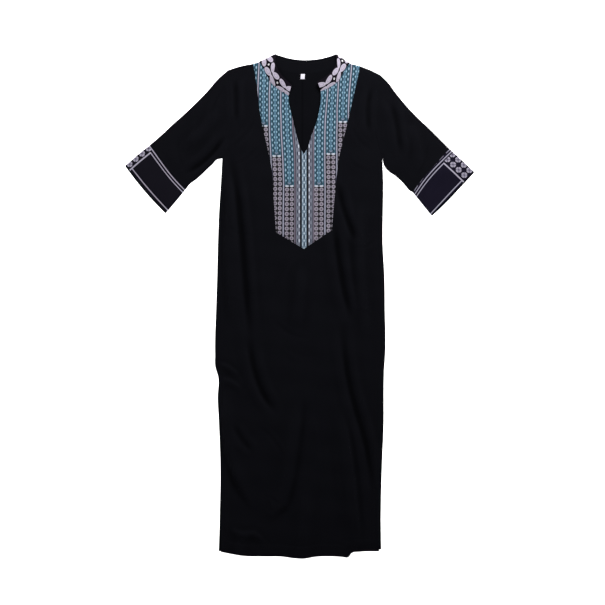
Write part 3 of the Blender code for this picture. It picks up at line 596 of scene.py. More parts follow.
def hem_stitch_lines():
    """The stitch lines of the front's hem and of its two slit hems."""
    hem = beside(seam(FRONT_HEM, 2 * EDGE_STEP), HEM_DEPTH)
    left = beside(SLIT_LEFT, SLIT_HEM_DEPTH)
    right = beside(SLIT_RIGHT, -SLIT_HEM_DEPTH)
    feet = [line[-SLIT_FOOT_POINTS:, 0].mean() for line in (left, right)]
    keep = (hem[:, 0] > feet[0]) & (hem[:, 0] < feet[1])
    hem = hem[keep]
    left = left[left[:, 1] > hem[0, 1]]
    right = right[right[:, 1] > hem[-1, 1]]
    return hem, left, right


HEM_STITCHES = hem_stitch_lines()


def front_top(plan):
    """Height of the front's upper side."""
    height = CREPE + lift(plan) + CREPE
    hem_turn = HEM_CLOTH * ease((HEM_DEPTH - distance_to(HEM, plan)) / HEM_STEP)
    slits = np.minimum(distance_to(SLIT_LEFT, plan), distance_to(SLIT_RIGHT, plan))
    slit_turn = HEM_CLOTH * ease((SLIT_HEM_DEPTH - slits) / HEM_STEP)
    height += np.maximum(hem_turn, slit_turn)
    for line in HEM_STITCHES:
        height -= STITCH_GROOVE * np.exp(-((distance_to(line, plan) / GROOVE_WIDTH) ** 2))
    return height


def rounded(plan, outline):
    """How far a piece's upper side falls towards its own edge."""
    return EDGE_DROP * np.exp(-distance_to(loop(outline), plan) / EDGE_ROUND)


def build_front(crepe):
    """The front panel, with its hems turned up."""
    outline = join(HEM, body_side(FRONT_RIGHT)[::-1], ARM_RIGHT[::-1], SHOULDERS[1][::-1], NECKLINE,
                   SHOULDERS[0], ARM_LEFT, body_side(FRONT_LEFT))[:-1]
    rows = [beside(line, offset) for line in HEM_STITCHES for offset in BESIDE_GROOVE]
    loose = np.concatenate([cell_points(outline, FRONT_CELL, HEM_STITCHES)] + rows)
    loose = loose[inside_outline(loose, outline)]
    plan, faces = triangulate(outline, loose)
    top = front_top(plan) - rounded(plan, outline)
    joined = [body_side(FRONT_LEFT, SLIT_TOP), body_side(FRONT_RIGHT, SLIT_TOP), *SHOULDERS]
    closing = np.min([distance_to(line, plan) for line in joined], axis=0)
    underside = CREPE + lift(plan)
    closed = CREPE - CLOSED_GAP
    underside = closed + (underside - closed) * ease(closing / CLOSED_REACH)
    underside = np.minimum(underside, top - LEAST_WALL)
    # the front's colour gets painted shade in its creases and painted highlight on its ridges
    return shell("front_panel", plan, faces, underside, top, [crepe], in_mm(plan), painted_fold_shading(plan))


def build_back(crepe):
    """The back panel, flat on the floor, with painted shade over it and a darker painted shade along a
    pressed line down its middle.
    """
    outline = join(seam(BACK_HEM), body_side(BACK_RIGHT)[::-1], ARM_RIGHT[::-1],
                   SHOULDERS[1][::-1], seam(NECK_BACK)[::-1], SHOULDERS[0], ARM_LEFT,
                   body_side(BACK_LEFT))[:-1]
    inside = cell_points(outline, BACK_CELL)
    middle = np.column_stack([np.tile(PRESSED_COLUMNS, len(PRESSED_ROWS)) + CENTRE_FRONT,
                              np.repeat(PRESSED_ROWS, len(PRESSED_COLUMNS)) + HEM_LINE])
    inside = inside[distance_to(place(PRESSED_LINE), inside) > PRESSED_CLEAR]
    plan, faces = triangulate(outline, np.concatenate([inside, middle]))
    floor = np.zeros(len(plan))
    top = floor + CREPE - rounded(plan, outline)
    at = in_mm(plan)
    # painted shade: the whole back darker, and darker still along the pressed line
    pressed_shade_mask = np.exp(-((at[:, 0] - PRESSED_AT) / PRESSED_WIDTH) ** 2)
    pressed_shade_mask *= ease((at[:, 1] - PRESSED_FROM) / PRESSED_FADE)
    painted_shading = PAINTED_INSIDE_SHADE - PAINTED_PRESSED_SHADE * pressed_shade_mask
    return shell("back_panel", plan, faces, floor, top, [crepe], at, painted_shading)


# How far the yoke's print has been pulled outwards where the neckline lies open: a row for each
# height, with the pull at three lines of the print on each side, in mm
PRINT_LINES = np.array((0.0, 57.0, 90.5, 124.0))
PULL_FROM = 1100
PULL_FADE = 60
PRINT_PULL = (
    # height cm, left inner, left middle, left outer, right inner, right middle, right outer
    (84.0, -0.5, -0.5, -0.5, 0.5, 0.5, 0.5),
    (95.0, -0.8, -1.5, -1.5, 0.8, 0.5, 0.5),
    (103.0, -1.8, -3.4, -3.4, 1.2, 0.2, 0.2),
    (108.8, 0.0, -1.0, -1.0, 0.4, 0.0, 0.0),
    (113.2, 2.4, 1.3, 1.3, 0.2, -0.2, -0.2),
    (117.0, 4.8, 3.4, 3.4, 0.6, 0.0, -0.5),
    (120.6, 5.6, 4.2, 3.6, 1.8, 1.0, -1.2),
    (123.4, 7.2, 3.9, 3.2, 4.6, 0.6, -1.6),
    (127.6, 6.5, 4.2, 2.5, 9.4, 3.0, 0.6),
    (130.0, 6.0, 2.8, 2.0, 10.0, 4.4, 2.6),
    (134.0, 6.0, 2.5, 0.0, 10.0, 6.0, 6.4),
    (137.0, 6.0, 2.5, -1.6, 10.0, 6.0, 8.0),
)


def print_places(plan):
    """Where each point lies on the yoke's flat print, in mm across and up."""
    at = in_mm(plan)
    across, height = at[:, 0], at[:, 1]
    table = np.array(PRINT_PULL)
    pulls = []
    for side in (1, 4):
        columns = [np.interp(height / 10, table[:, 0], table[:, side + k]) for k in range(3)]
        opening = ease((height - PULL_FROM) / PULL_FADE)
        pulls.append(np.stack([columns[0] * opening, *columns], axis=1))
    pull = np.where((across < 0)[:, None], pulls[0], pulls[1])
    a = np.abs(across)
    low = np.clip(np.searchsorted(PRINT_LINES, a, side="right") - 1, 0, len(PRINT_LINES) - 2)
    start, end = PRINT_LINES[low], PRINT_LINES[low + 1]
    share = np.clip((a - start) / (end - start), 0, 1)
    rows = np.arange(len(a))
    shift = pull[rows, low] * (1 - share) + pull[rows, low + 1] * share
    return np.stack([across - np.sign(across) * shift, height], axis=1)


def build_yoke(yoke_print):
    """The shield-shaped yoke, which lies on the front."""
    outline = join(YOKE_EDGE, seam(SHOULDER_RIGHT[0])[::-1], NECKLINE, seam(SHOULDER_LEFT[0]))[:-1]
    guide = beside(YOKE_EDGE, YOKE_STITCHES)
    rows = [beside(YOKE_EDGE, offset) for offset in BESIDE_YOKE_STITCHES]
    loose = np.concatenate([cell_points(outline, YOKE_CELL, [guide])] + rows)
    loose = loose[inside_outline(loose, outline)]
    plan, faces = triangulate(outline, loose)
    underside = front_top(plan) + SEAM_GAP
    groove = YOKE_GROOVE * np.exp(-((distance_to(guide, plan) / YOKE_GROOVE_WIDTH) ** 2))
    top = underside + YOKE_CLOTH - rounded(plan, outline) - groove
    # the yoke's colour gets painted shade in its creases and painted highlight on its ridges
    return shell("yoke_panel", plan, faces, underside, top, [yoke_print], print_places(plan),
                 painted_fold_shading(plan))


def sleeve_run(rows):
    """The direction in which a sleeve or a cuff runs."""
    upper, lower = sleeve_edges(rows)
    run = (upper[-1] + lower[-1]) - (upper[0] + lower[0])
    return run / np.linalg.norm(run)


def cuff_bow(rows, arch, wave):
    """How far the points of a line across a cuff lie off the straight line between the folds."""
    share = np.linspace(0.0, 1.0, TUBE_CELLS + 1)
    amount = (np.sin(math.pi * share) * arch + np.sin(2 * math.pi * share) * wave) * MM
    return amount[:, None] * sleeve_run(rows)


def sleeve_plan(rows, stations, start_bow, end_bow, underlap):
    """A sleeve's plan points at each station, from the upper fold to the lower seam.

    Each bow is added to the straight line across its end, and fades along the sleeve. The
    second result is the lower layer, which may reach further at the open end.
    """
    upper, lower = (smooth_line(edge, stations) for edge in sleeve_edges(rows))
    share = np.linspace(0.0, 1.0, TUBE_CELLS + 1)[:, None]
    top, bottom = [], []
    for station in range(stations + 1):
        along = station / stations
        ring = upper[station] + (lower[station] - upper[station]) * share
        ring = ring + start_bow * (1 - along) ** 2 + end_bow * along**2
        top.append(ring)
        bottom.append(ring + sleeve_run(rows) * underlap * along**3)
    return np.array(top), np.array(bottom)


def tube_ring(top, bottom, inner, squeeze, dip, places, painted_shading):
    """One closed ring of a flattened tube: its lower row, a side, its upper row and the other side."""
    height = lift(top)
    floor = CREPE if inner else squeeze
    ceiling = (CREPE if inner else 2 * CREPE - squeeze) + height - dip
    depth = CREPE * INNER_INSET if inner else squeeze
    reach = CREPE * (INNER_SIDE_REACH if inner else SIDE_REACH)
    ring, at = [], []

    def drawn_in(line, end, beside_it):
        step = line[beside_it] - line[end]
        return step / np.linalg.norm(step)

    low, high = bottom.copy(), top.copy()
    for end, beside_it in ((0, 1), (-1, -2)):
        low[end] = bottom[end] + drawn_in(bottom, end, beside_it) * (depth + reach)
        high[end] = top[end] + drawn_in(top, end, beside_it) * (depth + reach)
    for (x, y), (p, q) in zip(low, places):
        ring.append((x, y, floor))
        at.append((p, -q, 1.0))
    angles = np.linspace(-math.pi / 2, math.pi / 2, SIDE_STEPS + 2)[1:-1]
    for end, beside_it, order in ((-1, -2, angles), (0, 1, angles[::-1])):
        edge = (top[end] + bottom[end]) / 2
        inward = drawn_in(top, end, beside_it)
        middle, half = (floor + ceiling[end]) / 2, (ceiling[end] - floor) / 2
        if end == 0:
            for index in range(len(high) - 1, -1, -1):
                ring.append((*high[index], ceiling[index]))
                # the upper row carries the painted shade and painted highlight of its folds
                at.append((*places[index], painted_shading[index]))
        for angle in order:
            ring.append((*(edge + inward * (depth + reach * (1 - math.cos(angle)))),
                         middle + half * math.sin(angle)))
            at.append((*places[end], 1.0))
    return ring, at


EDGE_FACE = 2


def wall_faces(stations, cells, closed):
    """The faces of a wall of two skins over a grid, and which skin each belongs to, or its edge."""
    def at(skin, station, cell):
        return (skin * stations + station) * cells + cell % cells

    across = cells if closed else cells - 1
    faces, skins = [], []
    for station in range(stations - 1):
        for cell in range(across):
            for skin in (0, 1):
                faces.append((at(skin, station, cell), at(skin, station, cell + 1),
                              at(skin, station + 1, cell + 1), at(skin, station + 1, cell)))
                skins.append(skin)
        for cell in (() if closed else (0, cells - 1)):
            faces.append((at(0, station, cell), at(0, station + 1, cell),
                          at(1, station + 1, cell), at(1, station, cell)))
            skins.append(EDGE_FACE)
    for station in (0, stations - 1):
        for cell in range(across):
            faces.append((at(0, station, cell), at(0, station, cell + 1),
                          at(1, station, cell + 1), at(1, station, cell)))
            skins.append(EDGE_FACE)
    return faces, skins


def tube(name, top, bottom, run, outer_cloth, inner_cloth):
    """A flattened tube of cloth, open at both ends. Its first ring is tucked into its neighbour."""
    along = [line_length(np.array([top[0].mean(axis=0), line.mean(axis=0)])) for line in top]
    rings, spots = ([], []), ([], [])
    starts = [(0, -TUCK, TUCK_SQUEEZE)] + [(station, 0.0, 0.0) for station in range(len(top))]
    for station, shift, squeeze in starts:
        line_top, line_bottom = top[station] + run * shift, bottom[station] + run * shift
        walked = walk(top[station])
        places = np.column_stack([np.full(len(walked), along[station] + shift), walked]) / MM
        dip = SEAM_DIP * math.exp(-(along[station] - along[0]) / SEAM_DIP_FADE)
        # the upper layer's colour gets painted shade in its creases and painted highlight on its ridges
        painted_shading = painted_fold_shading(line_top)
        for inner in (0, 1):
            ring, at = tube_ring(line_top, line_bottom, inner, squeeze, dip, places, painted_shading)
            rings[inner].extend(ring)
            spots[inner].extend(at)
    faces, skins = wall_faces(len(starts), len(ring), closed=True)
    slots = [1 if skin == 1 else 0 for skin in skins]
    return make_piece(name, rings[0] + rings[1], faces, [outer_cloth, inner_cloth],
                      spots[0] + spots[1], slots)


def build_sleeves(crepe, cuff_prints):
    """Both sleeves, and the cuff bands sewn to their ends."""
    sides = (
        ("left", ARM_LEFT, SLEEVE_LEFT, CUFF_LEFT),
        ("right", ARM_RIGHT, SLEEVE_RIGHT, CUFF_RIGHT),
    )
    made = {}
    for side, armhole, sleeve_rows, cuff_rows in sides:
        armhole_bow = armhole - np.linspace(armhole[0], armhole[-1], TUBE_CELLS + 1)
        seam_bow, opening_bow = (cuff_bow(cuff_rows, *bow) for bow in CUFF_BOWS[side])
        top, bottom = sleeve_plan(sleeve_rows, SLEEVE_STATIONS, armhole_bow, seam_bow, 0.0)
        made["sleeve_" + side] = tube("sleeve_tube_" + side, top, bottom, sleeve_run(sleeve_rows),
                                      crepe, crepe)
        top, bottom = sleeve_plan(cuff_rows, CUFF_STATIONS, seam_bow, opening_bow, CUFF_UNDERLAP)
        made["cuff_" + side] = tube("cuff_band_" + side, top, bottom, sleeve_run(cuff_rows),
                                    cuff_prints[side], crepe)
    return made


def collar_rows():
    """The collar's stations: seam point and top point of the wall's middle, as x, y, z, x, y, z."""
    def front(tops, neck):
        stations = []
        for index, ((across, up, rise), seam_at) in enumerate(zip(tops, neck)):
            height = CREPE + lift(seam_at[None, :])[0] + CREPE
            # the last stations go over to the height of the fold
            at_fold = ease((index - len(tops) + 3) / 2)
            height = height + (FOLD_HEIGHT + BAND / 2 - height) * at_fold
            stations.append((*seam_at, height, *place((across, up)), height + rise * MM))
        return stations

    def neck_line(points):
        return smooth_line(place(points), len(points) - 1)

    left = smooth_line(front(COLLAR_FRONT_LEFT, neck_line(NECK_LEFT)), COLLAR_FRONT_STATIONS)
    right = smooth_line(front(COLLAR_FRONT_RIGHT[::-1], neck_line(NECK_RIGHT)), COLLAR_FRONT_STATIONS)
    back = [(*seam_at, BAND / 2, *top_at, BAND / 2)
            for top_at, seam_at in zip(place(COLLAR_BACK), neck_line(NECK_BACK))]
    back = smooth_line(back, COLLAR_BACK_STATIONS)
    return np.concatenate([left[:-1], turn(left[-1], back[0], -1), back[1:-1],
                           turn(back[-1], right[-1], 1), right[:-1][::-1]])


def turn(start, end, sign):
    """The half turn where the band folds over at a side of the neck."""
    start, end = np.array(start), np.array(end)
    seam_at, top_at = (start[:2] + end[:2]) / 2, (start[3:5] + end[3:5]) / 2
    run = top_at - seam_at
    outward = np.array([-run[1], run[0]]) / np.linalg.norm(run)
    if outward[0] * sign < 0:
        outward = -outward
    radius = abs(end[2] - start[2]) / 2
    rows = []
    for step in range(FOLD_TURNS + 1):
        angle = math.pi * step / FOLD_TURNS
        out = outward * math.sin(angle) * radius
        height = (start[2] + end[2]) / 2 + (start[2] - end[2]) / 2 * math.cos(angle)
        rows.append((*(seam_at + out), height, *(top_at + out), height))
    return rows


def build_collar(collar_print, crepe):
    """The stand collar: one band round the neck, folded flat at both sides."""
    rows = collar_rows()
    share = np.concatenate([[COLLAR_TUCK], np.linspace(0.0, 1.0, COLLAR_CELLS + 1)])
    grid = rows[:, None, :3] + (rows[:, 3:] - rows[:, :3])[:, None, :] * share[None, :, None]
    standing = np.abs(rows[:, 5] - rows[:, 2]) / COLLAR_STANDS
    arch = np.sin(np.clip(share, 0, 1) * math.pi)[None, :] * ease(standing)[:, None] * COLLAR_ARCH
    grid[:, :, 2] += arch
    tucked = grid[:, 0, 2]
    grid[:, 0, 2] = np.where(tucked > BAND, tucked - FRONT_TUCK, tucked - BACK_TUCK)
    along = np.gradient(grid, axis=0)
    across = np.gradient(grid, axis=1)
    normal = np.cross(along, across)
    normal /= np.linalg.norm(normal, axis=2)[:, :, None]
    half = np.full(len(share), BAND / 2)
    half[0], half[-1] = SEAM_HALF, TOP_HALF
    thick = normal * half[None, :, None]
    stations, cells = grid.shape[:2]
    vertices = np.concatenate([(grid + thick).reshape(-1, 3), (grid - thick).reshape(-1, 3)])
    middle = grid[:, cells // 2]
    walked = walk(middle)
    width = np.linalg.norm(rows[:, 3:] - rows[:, :3], axis=1)
    places = np.ones((stations, cells, 3))
    from_end = np.where(walked < walked[-1] / 2, walked, walked - walked[-1])
    places[:, :, 0] = from_end[:, None] / MM
    places[:, :, 1] = share[None, :] * width[:, None] / MM
    places = places.reshape(-1, 3)
    printed = 0 if normal[2, cells // 2, 2] > 0 else 1
    faces, skins = wall_faces(stations, cells, closed=False)
    slots = [0 if skin == printed else 1 for skin in skins]
    cloth_at = np.concatenate([places, places])
    piece = make_piece("collar_band", vertices, faces, [collar_print, crepe], cloth_at, slots)
    return piece, grid, normal


def build_label(label_tape):
    """The small bare label sewn inside the back neck."""
    grid_x, grid_y = np.meshgrid(np.linspace(-0.5, 0.5, LABEL_COLUMNS + 1),
                                 np.linspace(0.0, 1.0, LABEL_ROWS + 1))
    across, down = grid_x.ravel(), grid_y.ravel()
    left, top = place(LABEL_TOP)
    lean = LABEL_LEAN * (1 - 2 * down)
    plan = np.stack([left + across * LABEL_WIDTH + lean / 2, top - down * LABEL_HEIGHT], axis=1)
    bulge = LABEL_BULGE * np.sin(down * math.pi) * (1 - 1.2 * across**2)
    underside = CREPE + LABEL_GAP + bulge
    faces = []
    for row in range(LABEL_ROWS):
        for column in range(LABEL_COLUMNS):
            a = row * (LABEL_COLUMNS + 1) + column
            b = a + LABEL_COLUMNS + 1
            faces += [(b, b + 1, a + 1), (b, a + 1, a)]
    places = np.stack([across * LABEL_WIDTH, down * LABEL_HEIGHT], axis=1) / MM
    return shell("label_tab", plan, faces, underside, underside + LABEL_CLOTH, [label_tape], places)


# Stitches, as small threads that lie in the cloth
STITCH_PITCH = 3.4 * MM
STITCH_LENGTH = 2.5 * MM
THREAD = 0.32 * MM
STITCH_SIDES = 6
STITCH_FLAT = 0.8
STITCH_RINGS = (
    # share of the length, share of the width, height mm
    (0, 0.4, -0.10), (0.2, 0.9, 0.02), (0.5, 1.0, 0.10), (0.8, 0.9, 0.02), (1, 0.4, -0.10))
ON_HEM = 0.05 * MM
IN_YOKE = 0.25 * MM
IN_SEAM = 0.1 * MM
BESIDE_NECK = 2.2 * MM


def stitch_row(points, heights):
    """Vertices and faces of a row of stitches along a line with a height at each point."""
    walked = walk(points)
    vertices, faces = [], []
    for middle in np.arange(STITCH_PITCH / 2, walked[-1], STITCH_PITCH):
        spots = np.clip((middle - STITCH_LENGTH / 2, middle + STITCH_LENGTH / 2), 0.0, walked[-1])
        start, end = np.transpose([np.interp(spots, walked, row) for row in (*points.T, heights)])
        length = np.linalg.norm(end - start)
        if length < STITCH_LENGTH / 3:
            continue
        run = (end - start) / length
        across = np.array([-run[1], run[0], 0.0])
        first = len(vertices)
        for share, width, height in STITCH_RINGS:
            spot = start + (end - start) * share + (0, 0, height * MM)
            for angle in np.arange(STITCH_SIDES) * 2 * math.pi / STITCH_SIDES:
                side = across * math.cos(angle) * THREAD * width
                up = math.sin(angle) * THREAD * width * STITCH_FLAT
                vertices.append(spot + side + (0, 0, up))
        last = first + (len(STITCH_RINGS) - 1) * STITCH_SIDES
        for ring in range(first, last, STITCH_SIDES):
            for step in range(STITCH_SIDES):
                a, b = ring + step, ring + (step + 1) % STITCH_SIDES
                faces.append((a, b, b + STITCH_SIDES, a + STITCH_SIDES))
        faces.append(tuple(range(first, first + STITCH_SIDES))[::-1])
        faces.append(tuple(range(last, last + STITCH_SIDES)))
    return vertices, faces


def build_stitches(name, rows, thread):
    """One piece from several rows of stitches."""
    vertices, faces = [], []
    for points, heights in rows:
        more_vertices, more_faces = stitch_row(points, heights)
        faces += [tuple(index + len(vertices) for index in face) for face in more_faces]
        vertices += more_vertices
    places = np.array(vertices) / MM
    return make_piece(name, vertices, faces, [thread], places)


# How soft the edges of printed shapes are: in mm, and for an oval as a share of its size
SOFT_EDGE = 0.25
SOFT_OVAL = 0.12


class Field:
    """A number that varies over the cloth: a socket of a node tree, with arithmetic."""

    def __init__(self, tree, socket):
        self.tree = tree
        self.socket = socket

    def math(self, operation, *others):
        node = self.tree.nodes.new("ShaderNodeMath")
        node.operation = operation
        for plug, value in zip(node.inputs, (self, *others)):
            if isinstance(value, Field):
                self.tree.links.new(value.socket, plug)
            else:
                plug.default_value = value
        return Field(self.tree, node.outputs[0])

    def __add__(self, other):
        return self.math("ADD", other)

    def __sub__(self, other):
        return self.math("SUBTRACT", other)

    def __mul__(self, other):
        return self.math("MULTIPLY", other)

    def __truediv__(self, other):
        return self.math("DIVIDE", other)

    def size(self):
        return self.math("ABSOLUTE")

    def squared(self):
        return self * self

    def repeat(self, pitch, middle=0.0):
        """The same number counted from the nearest of a row of middles."""
        return (self - middle).math("WRAP", pitch / 2, -pitch / 2)

    def above(self, limit, soft=SOFT_EDGE):
        """1 where the number is above the limit and 0 below it."""
        return ((self - limit) / soft + 0.5).clamped()

    def below(self, limit, soft=SOFT_EDGE):
        """1 where the number is below the limit and 0 above it."""
        return self.above(limit, -soft)

    def between(self, low, high, soft=SOFT_EDGE):
        """1 where the number lies between two limits."""
        return self.above(low, soft) * self.below(high, soft)

    def clamped(self):
        node = self.tree.nodes.new("ShaderNodeClamp")
        self.tree.links.new(self.socket, node.inputs["Value"])
        return Field(self.tree, node.outputs[0])


def oval(across, along, half_width, half_length, soft=SOFT_OVAL):
    """A mask of ovals, from two numbers counted from their middles."""
    spread = (across / half_width).squared() + (along / half_length).squared()
    return spread.below(1.0, soft * 2)


def linear(red, green, blue):
    """A screen colour of 0 to 255 as the linear colour that a shader takes."""
    parts = []
    for part in (red, green, blue):
        part /= 255
        parts.append(part / 12.92 if part <= 0.04045 else ((part + 0.055) / 1.055) ** 2.4)
    return (*parts, 1.0)


# The light that shows the folds of the black cloth is strong for the prints, so their inks are
# toned down to this share
INK = 0.65


def ink(red, green, blue):
    """An ink's linear colour, toned to the light that the scene has."""
    return (*(part * INK for part in linear(red, green, blue)[:3]), 1.0)


# Sockets of a node that mixes two colours
MIX_SHARE = 0
MIX_UNDER = 6
MIX_OVER = 7
MIX_RESULT = 2


class Cloth:
    """A cloth's material: a coloured chart that is painted over step by step."""

    def __init__(self, name, ground, roughness, specular, sheen=0.0):
        self.material = bpy.data.materials.new(name)
        self.material.use_nodes = True
        self.tree = self.material.node_tree
        self.shader = self.tree.nodes["Principled BSDF"]
        self.shader.inputs["Roughness"].default_value = roughness
        self.shader.inputs["Specular IOR Level"].default_value = specular
        self.shader.inputs["Sheen Weight"].default_value = sheen
        self.shader.inputs["Sheen Roughness"].default_value = 0.5
        self.ground = ground
        self.colour = None
        place_node = self.tree.nodes.new("ShaderNodeAttribute")
        place_node.attribute_name = "cloth"
        split = self.tree.nodes.new("ShaderNodeSeparateXYZ")
        self.tree.links.new(place_node.outputs["Vector"], split.inputs[0])
        self.place = place_node.outputs["Vector"]
        self.across = Field(self.tree, split.outputs["X"])
        self.along = Field(self.tree, split.outputs["Y"])
        # the third part is painted shading: a factor for the colour, below 1 for painted shade and above
        # 1 for painted highlight
        self.painted_shading = Field(self.tree, split.outputs["Z"])

    def colour_into(self, plug):
        """Feeds the colour so far into a plug."""
        if self.colour is None:
            plug.default_value = self.ground
        else:
            self.tree.links.new(self.colour, plug)

    def layer(self):
        """A new layer over the colour so far."""
        node = self.tree.nodes.new("ShaderNodeMix")
        node.data_type = "RGBA"
        self.colour_into(node.inputs[MIX_UNDER])
        self.colour = node.outputs[MIX_RESULT]
        return node

    def paint(self, mask, colour):
        """Lays a colour over what is there, where the mask is 1."""
        node = self.layer()
        self.tree.links.new(mask.socket, node.inputs[MIX_SHARE])
        node.inputs[MIX_OVER].default_value = colour

    def noise(self, scale, detail=2.0, roughness=0.5, stretch=(1, 1, 1)):
        """A noise over the cloth. The scale counts blobs in a millimetre."""
        mapping = self.tree.nodes.new("ShaderNodeMapping")
        mapping.inputs["Scale"].default_value = stretch
        self.tree.links.new(self.place, mapping.inputs["Vector"])
        node = self.tree.nodes.new("ShaderNodeTexNoise")
        node.inputs["Scale"].default_value = scale
        node.inputs["Detail"].default_value = detail
        node.inputs["Roughness"].default_value = roughness
        self.tree.links.new(mapping.outputs[0], node.inputs["Vector"])
        return Field(self.tree, node.outputs[0])

    def vary_and_shade(self, amount, scale):
        """Lightens and darkens the colour a little, unevenly, and multiplies it by the painted shade and
        painted highlight that the mesh gives.
        """
        node = self.layer()
        node.blend_type = "MULTIPLY"
        node.inputs[MIX_SHARE].default_value = 1.0
        # random variation, times the painted shade and painted highlight from the mesh
        variation_and_shade = ((self.noise(scale, 3.0) - 0.5) * (2 * amount) + 1.0) * self.painted_shading
        variation_and_shade_colour = self.tree.nodes.new("ShaderNodeCombineXYZ")
        for plug in variation_and_shade_colour.inputs:
            self.tree.links.new(variation_and_shade.socket, plug)
        self.tree.links.new(variation_and_shade_colour.outputs[0], node.inputs[MIX_OVER])

    def finish(self, bump, strength, distance):
        """Joins the chart and the bump to the shader."""
        self.colour_into(self.shader.inputs["Base Color"])
        node = self.tree.nodes.new("ShaderNodeBump")
        node.inputs["Strength"].default_value = strength
        node.inputs["Distance"].default_value = distance
        self.tree.links.new(bump.socket, node.inputs["Height"])
        self.tree.links.new(node.outputs[0], self.shader.inputs["Normal"])
        return self.material


def weave(cloth, pitch):
    """The height of a plain weave: threads over and under each other."""
    turn_rate = 2 * math.pi / pitch
    warp = (cloth.across * turn_rate).math("SINE")
    weft = (cloth.along * turn_rate).math("SINE")
    return warp * weft


CREPE_COLOUR = (0.0041, 0.0042, 0.0059, 1.0)
THREAD_COLOUR = (0.0030, 0.0030, 0.0040, 1.0)


def crepe_cloth():
    """Black crepe: matte, with a fine pebbled grain."""
    cloth = Cloth("crepe_cloth", CREPE_COLOUR, roughness=0.85, specular=0.02)
    # random variation, times the painted shade and highlight of folds, creases and the back inside the
    # neck
    cloth.vary_and_shade(amount=0.10, scale=0.02)
    pebbles = cloth.noise(1.1, 3.0, 0.6, (1.0, 0.45, 1.0))
    threads = cloth.noise(2.6, 2.0, 0.5, (0.5, 1.0, 1.0)) * 0.6
    grain = pebbles + threads + weave(cloth, 0.9) * 0.12
    return cloth.finish(grain, strength=0.35, distance=0.4 * MM)


# Yoke print, in mm: wide columns on each side of a centre design, the heights where their teal
# part ends, and the pitches and middles of what repeats up them
COLUMN_FIRST = 40.7
COLUMN_PITCH = 33.3
LAST_COLUMN = 2.0
COLUMN_END_FIRST = 1024.0
COLUMN_END_STEP = 88.0
COLUMN_END_LEAN = 5.5
TEAL_PERIOD = 14.66
ZIGZAG_HALF = 8.0
ZIGZAG_DEPTH = 3.4
ZIGZAG_SOFT = 0.8
PAIR_ROW = 21.45
RING_PITCH = 13.4
RING_ROW = -9.9
RING_ACROSS = 6.75
CENTRE_PERIOD = 19.94
LOZENGE_ROW = 923.7
DOT_ROW = 933.6
MIDDLE_STRIPE = 1.0


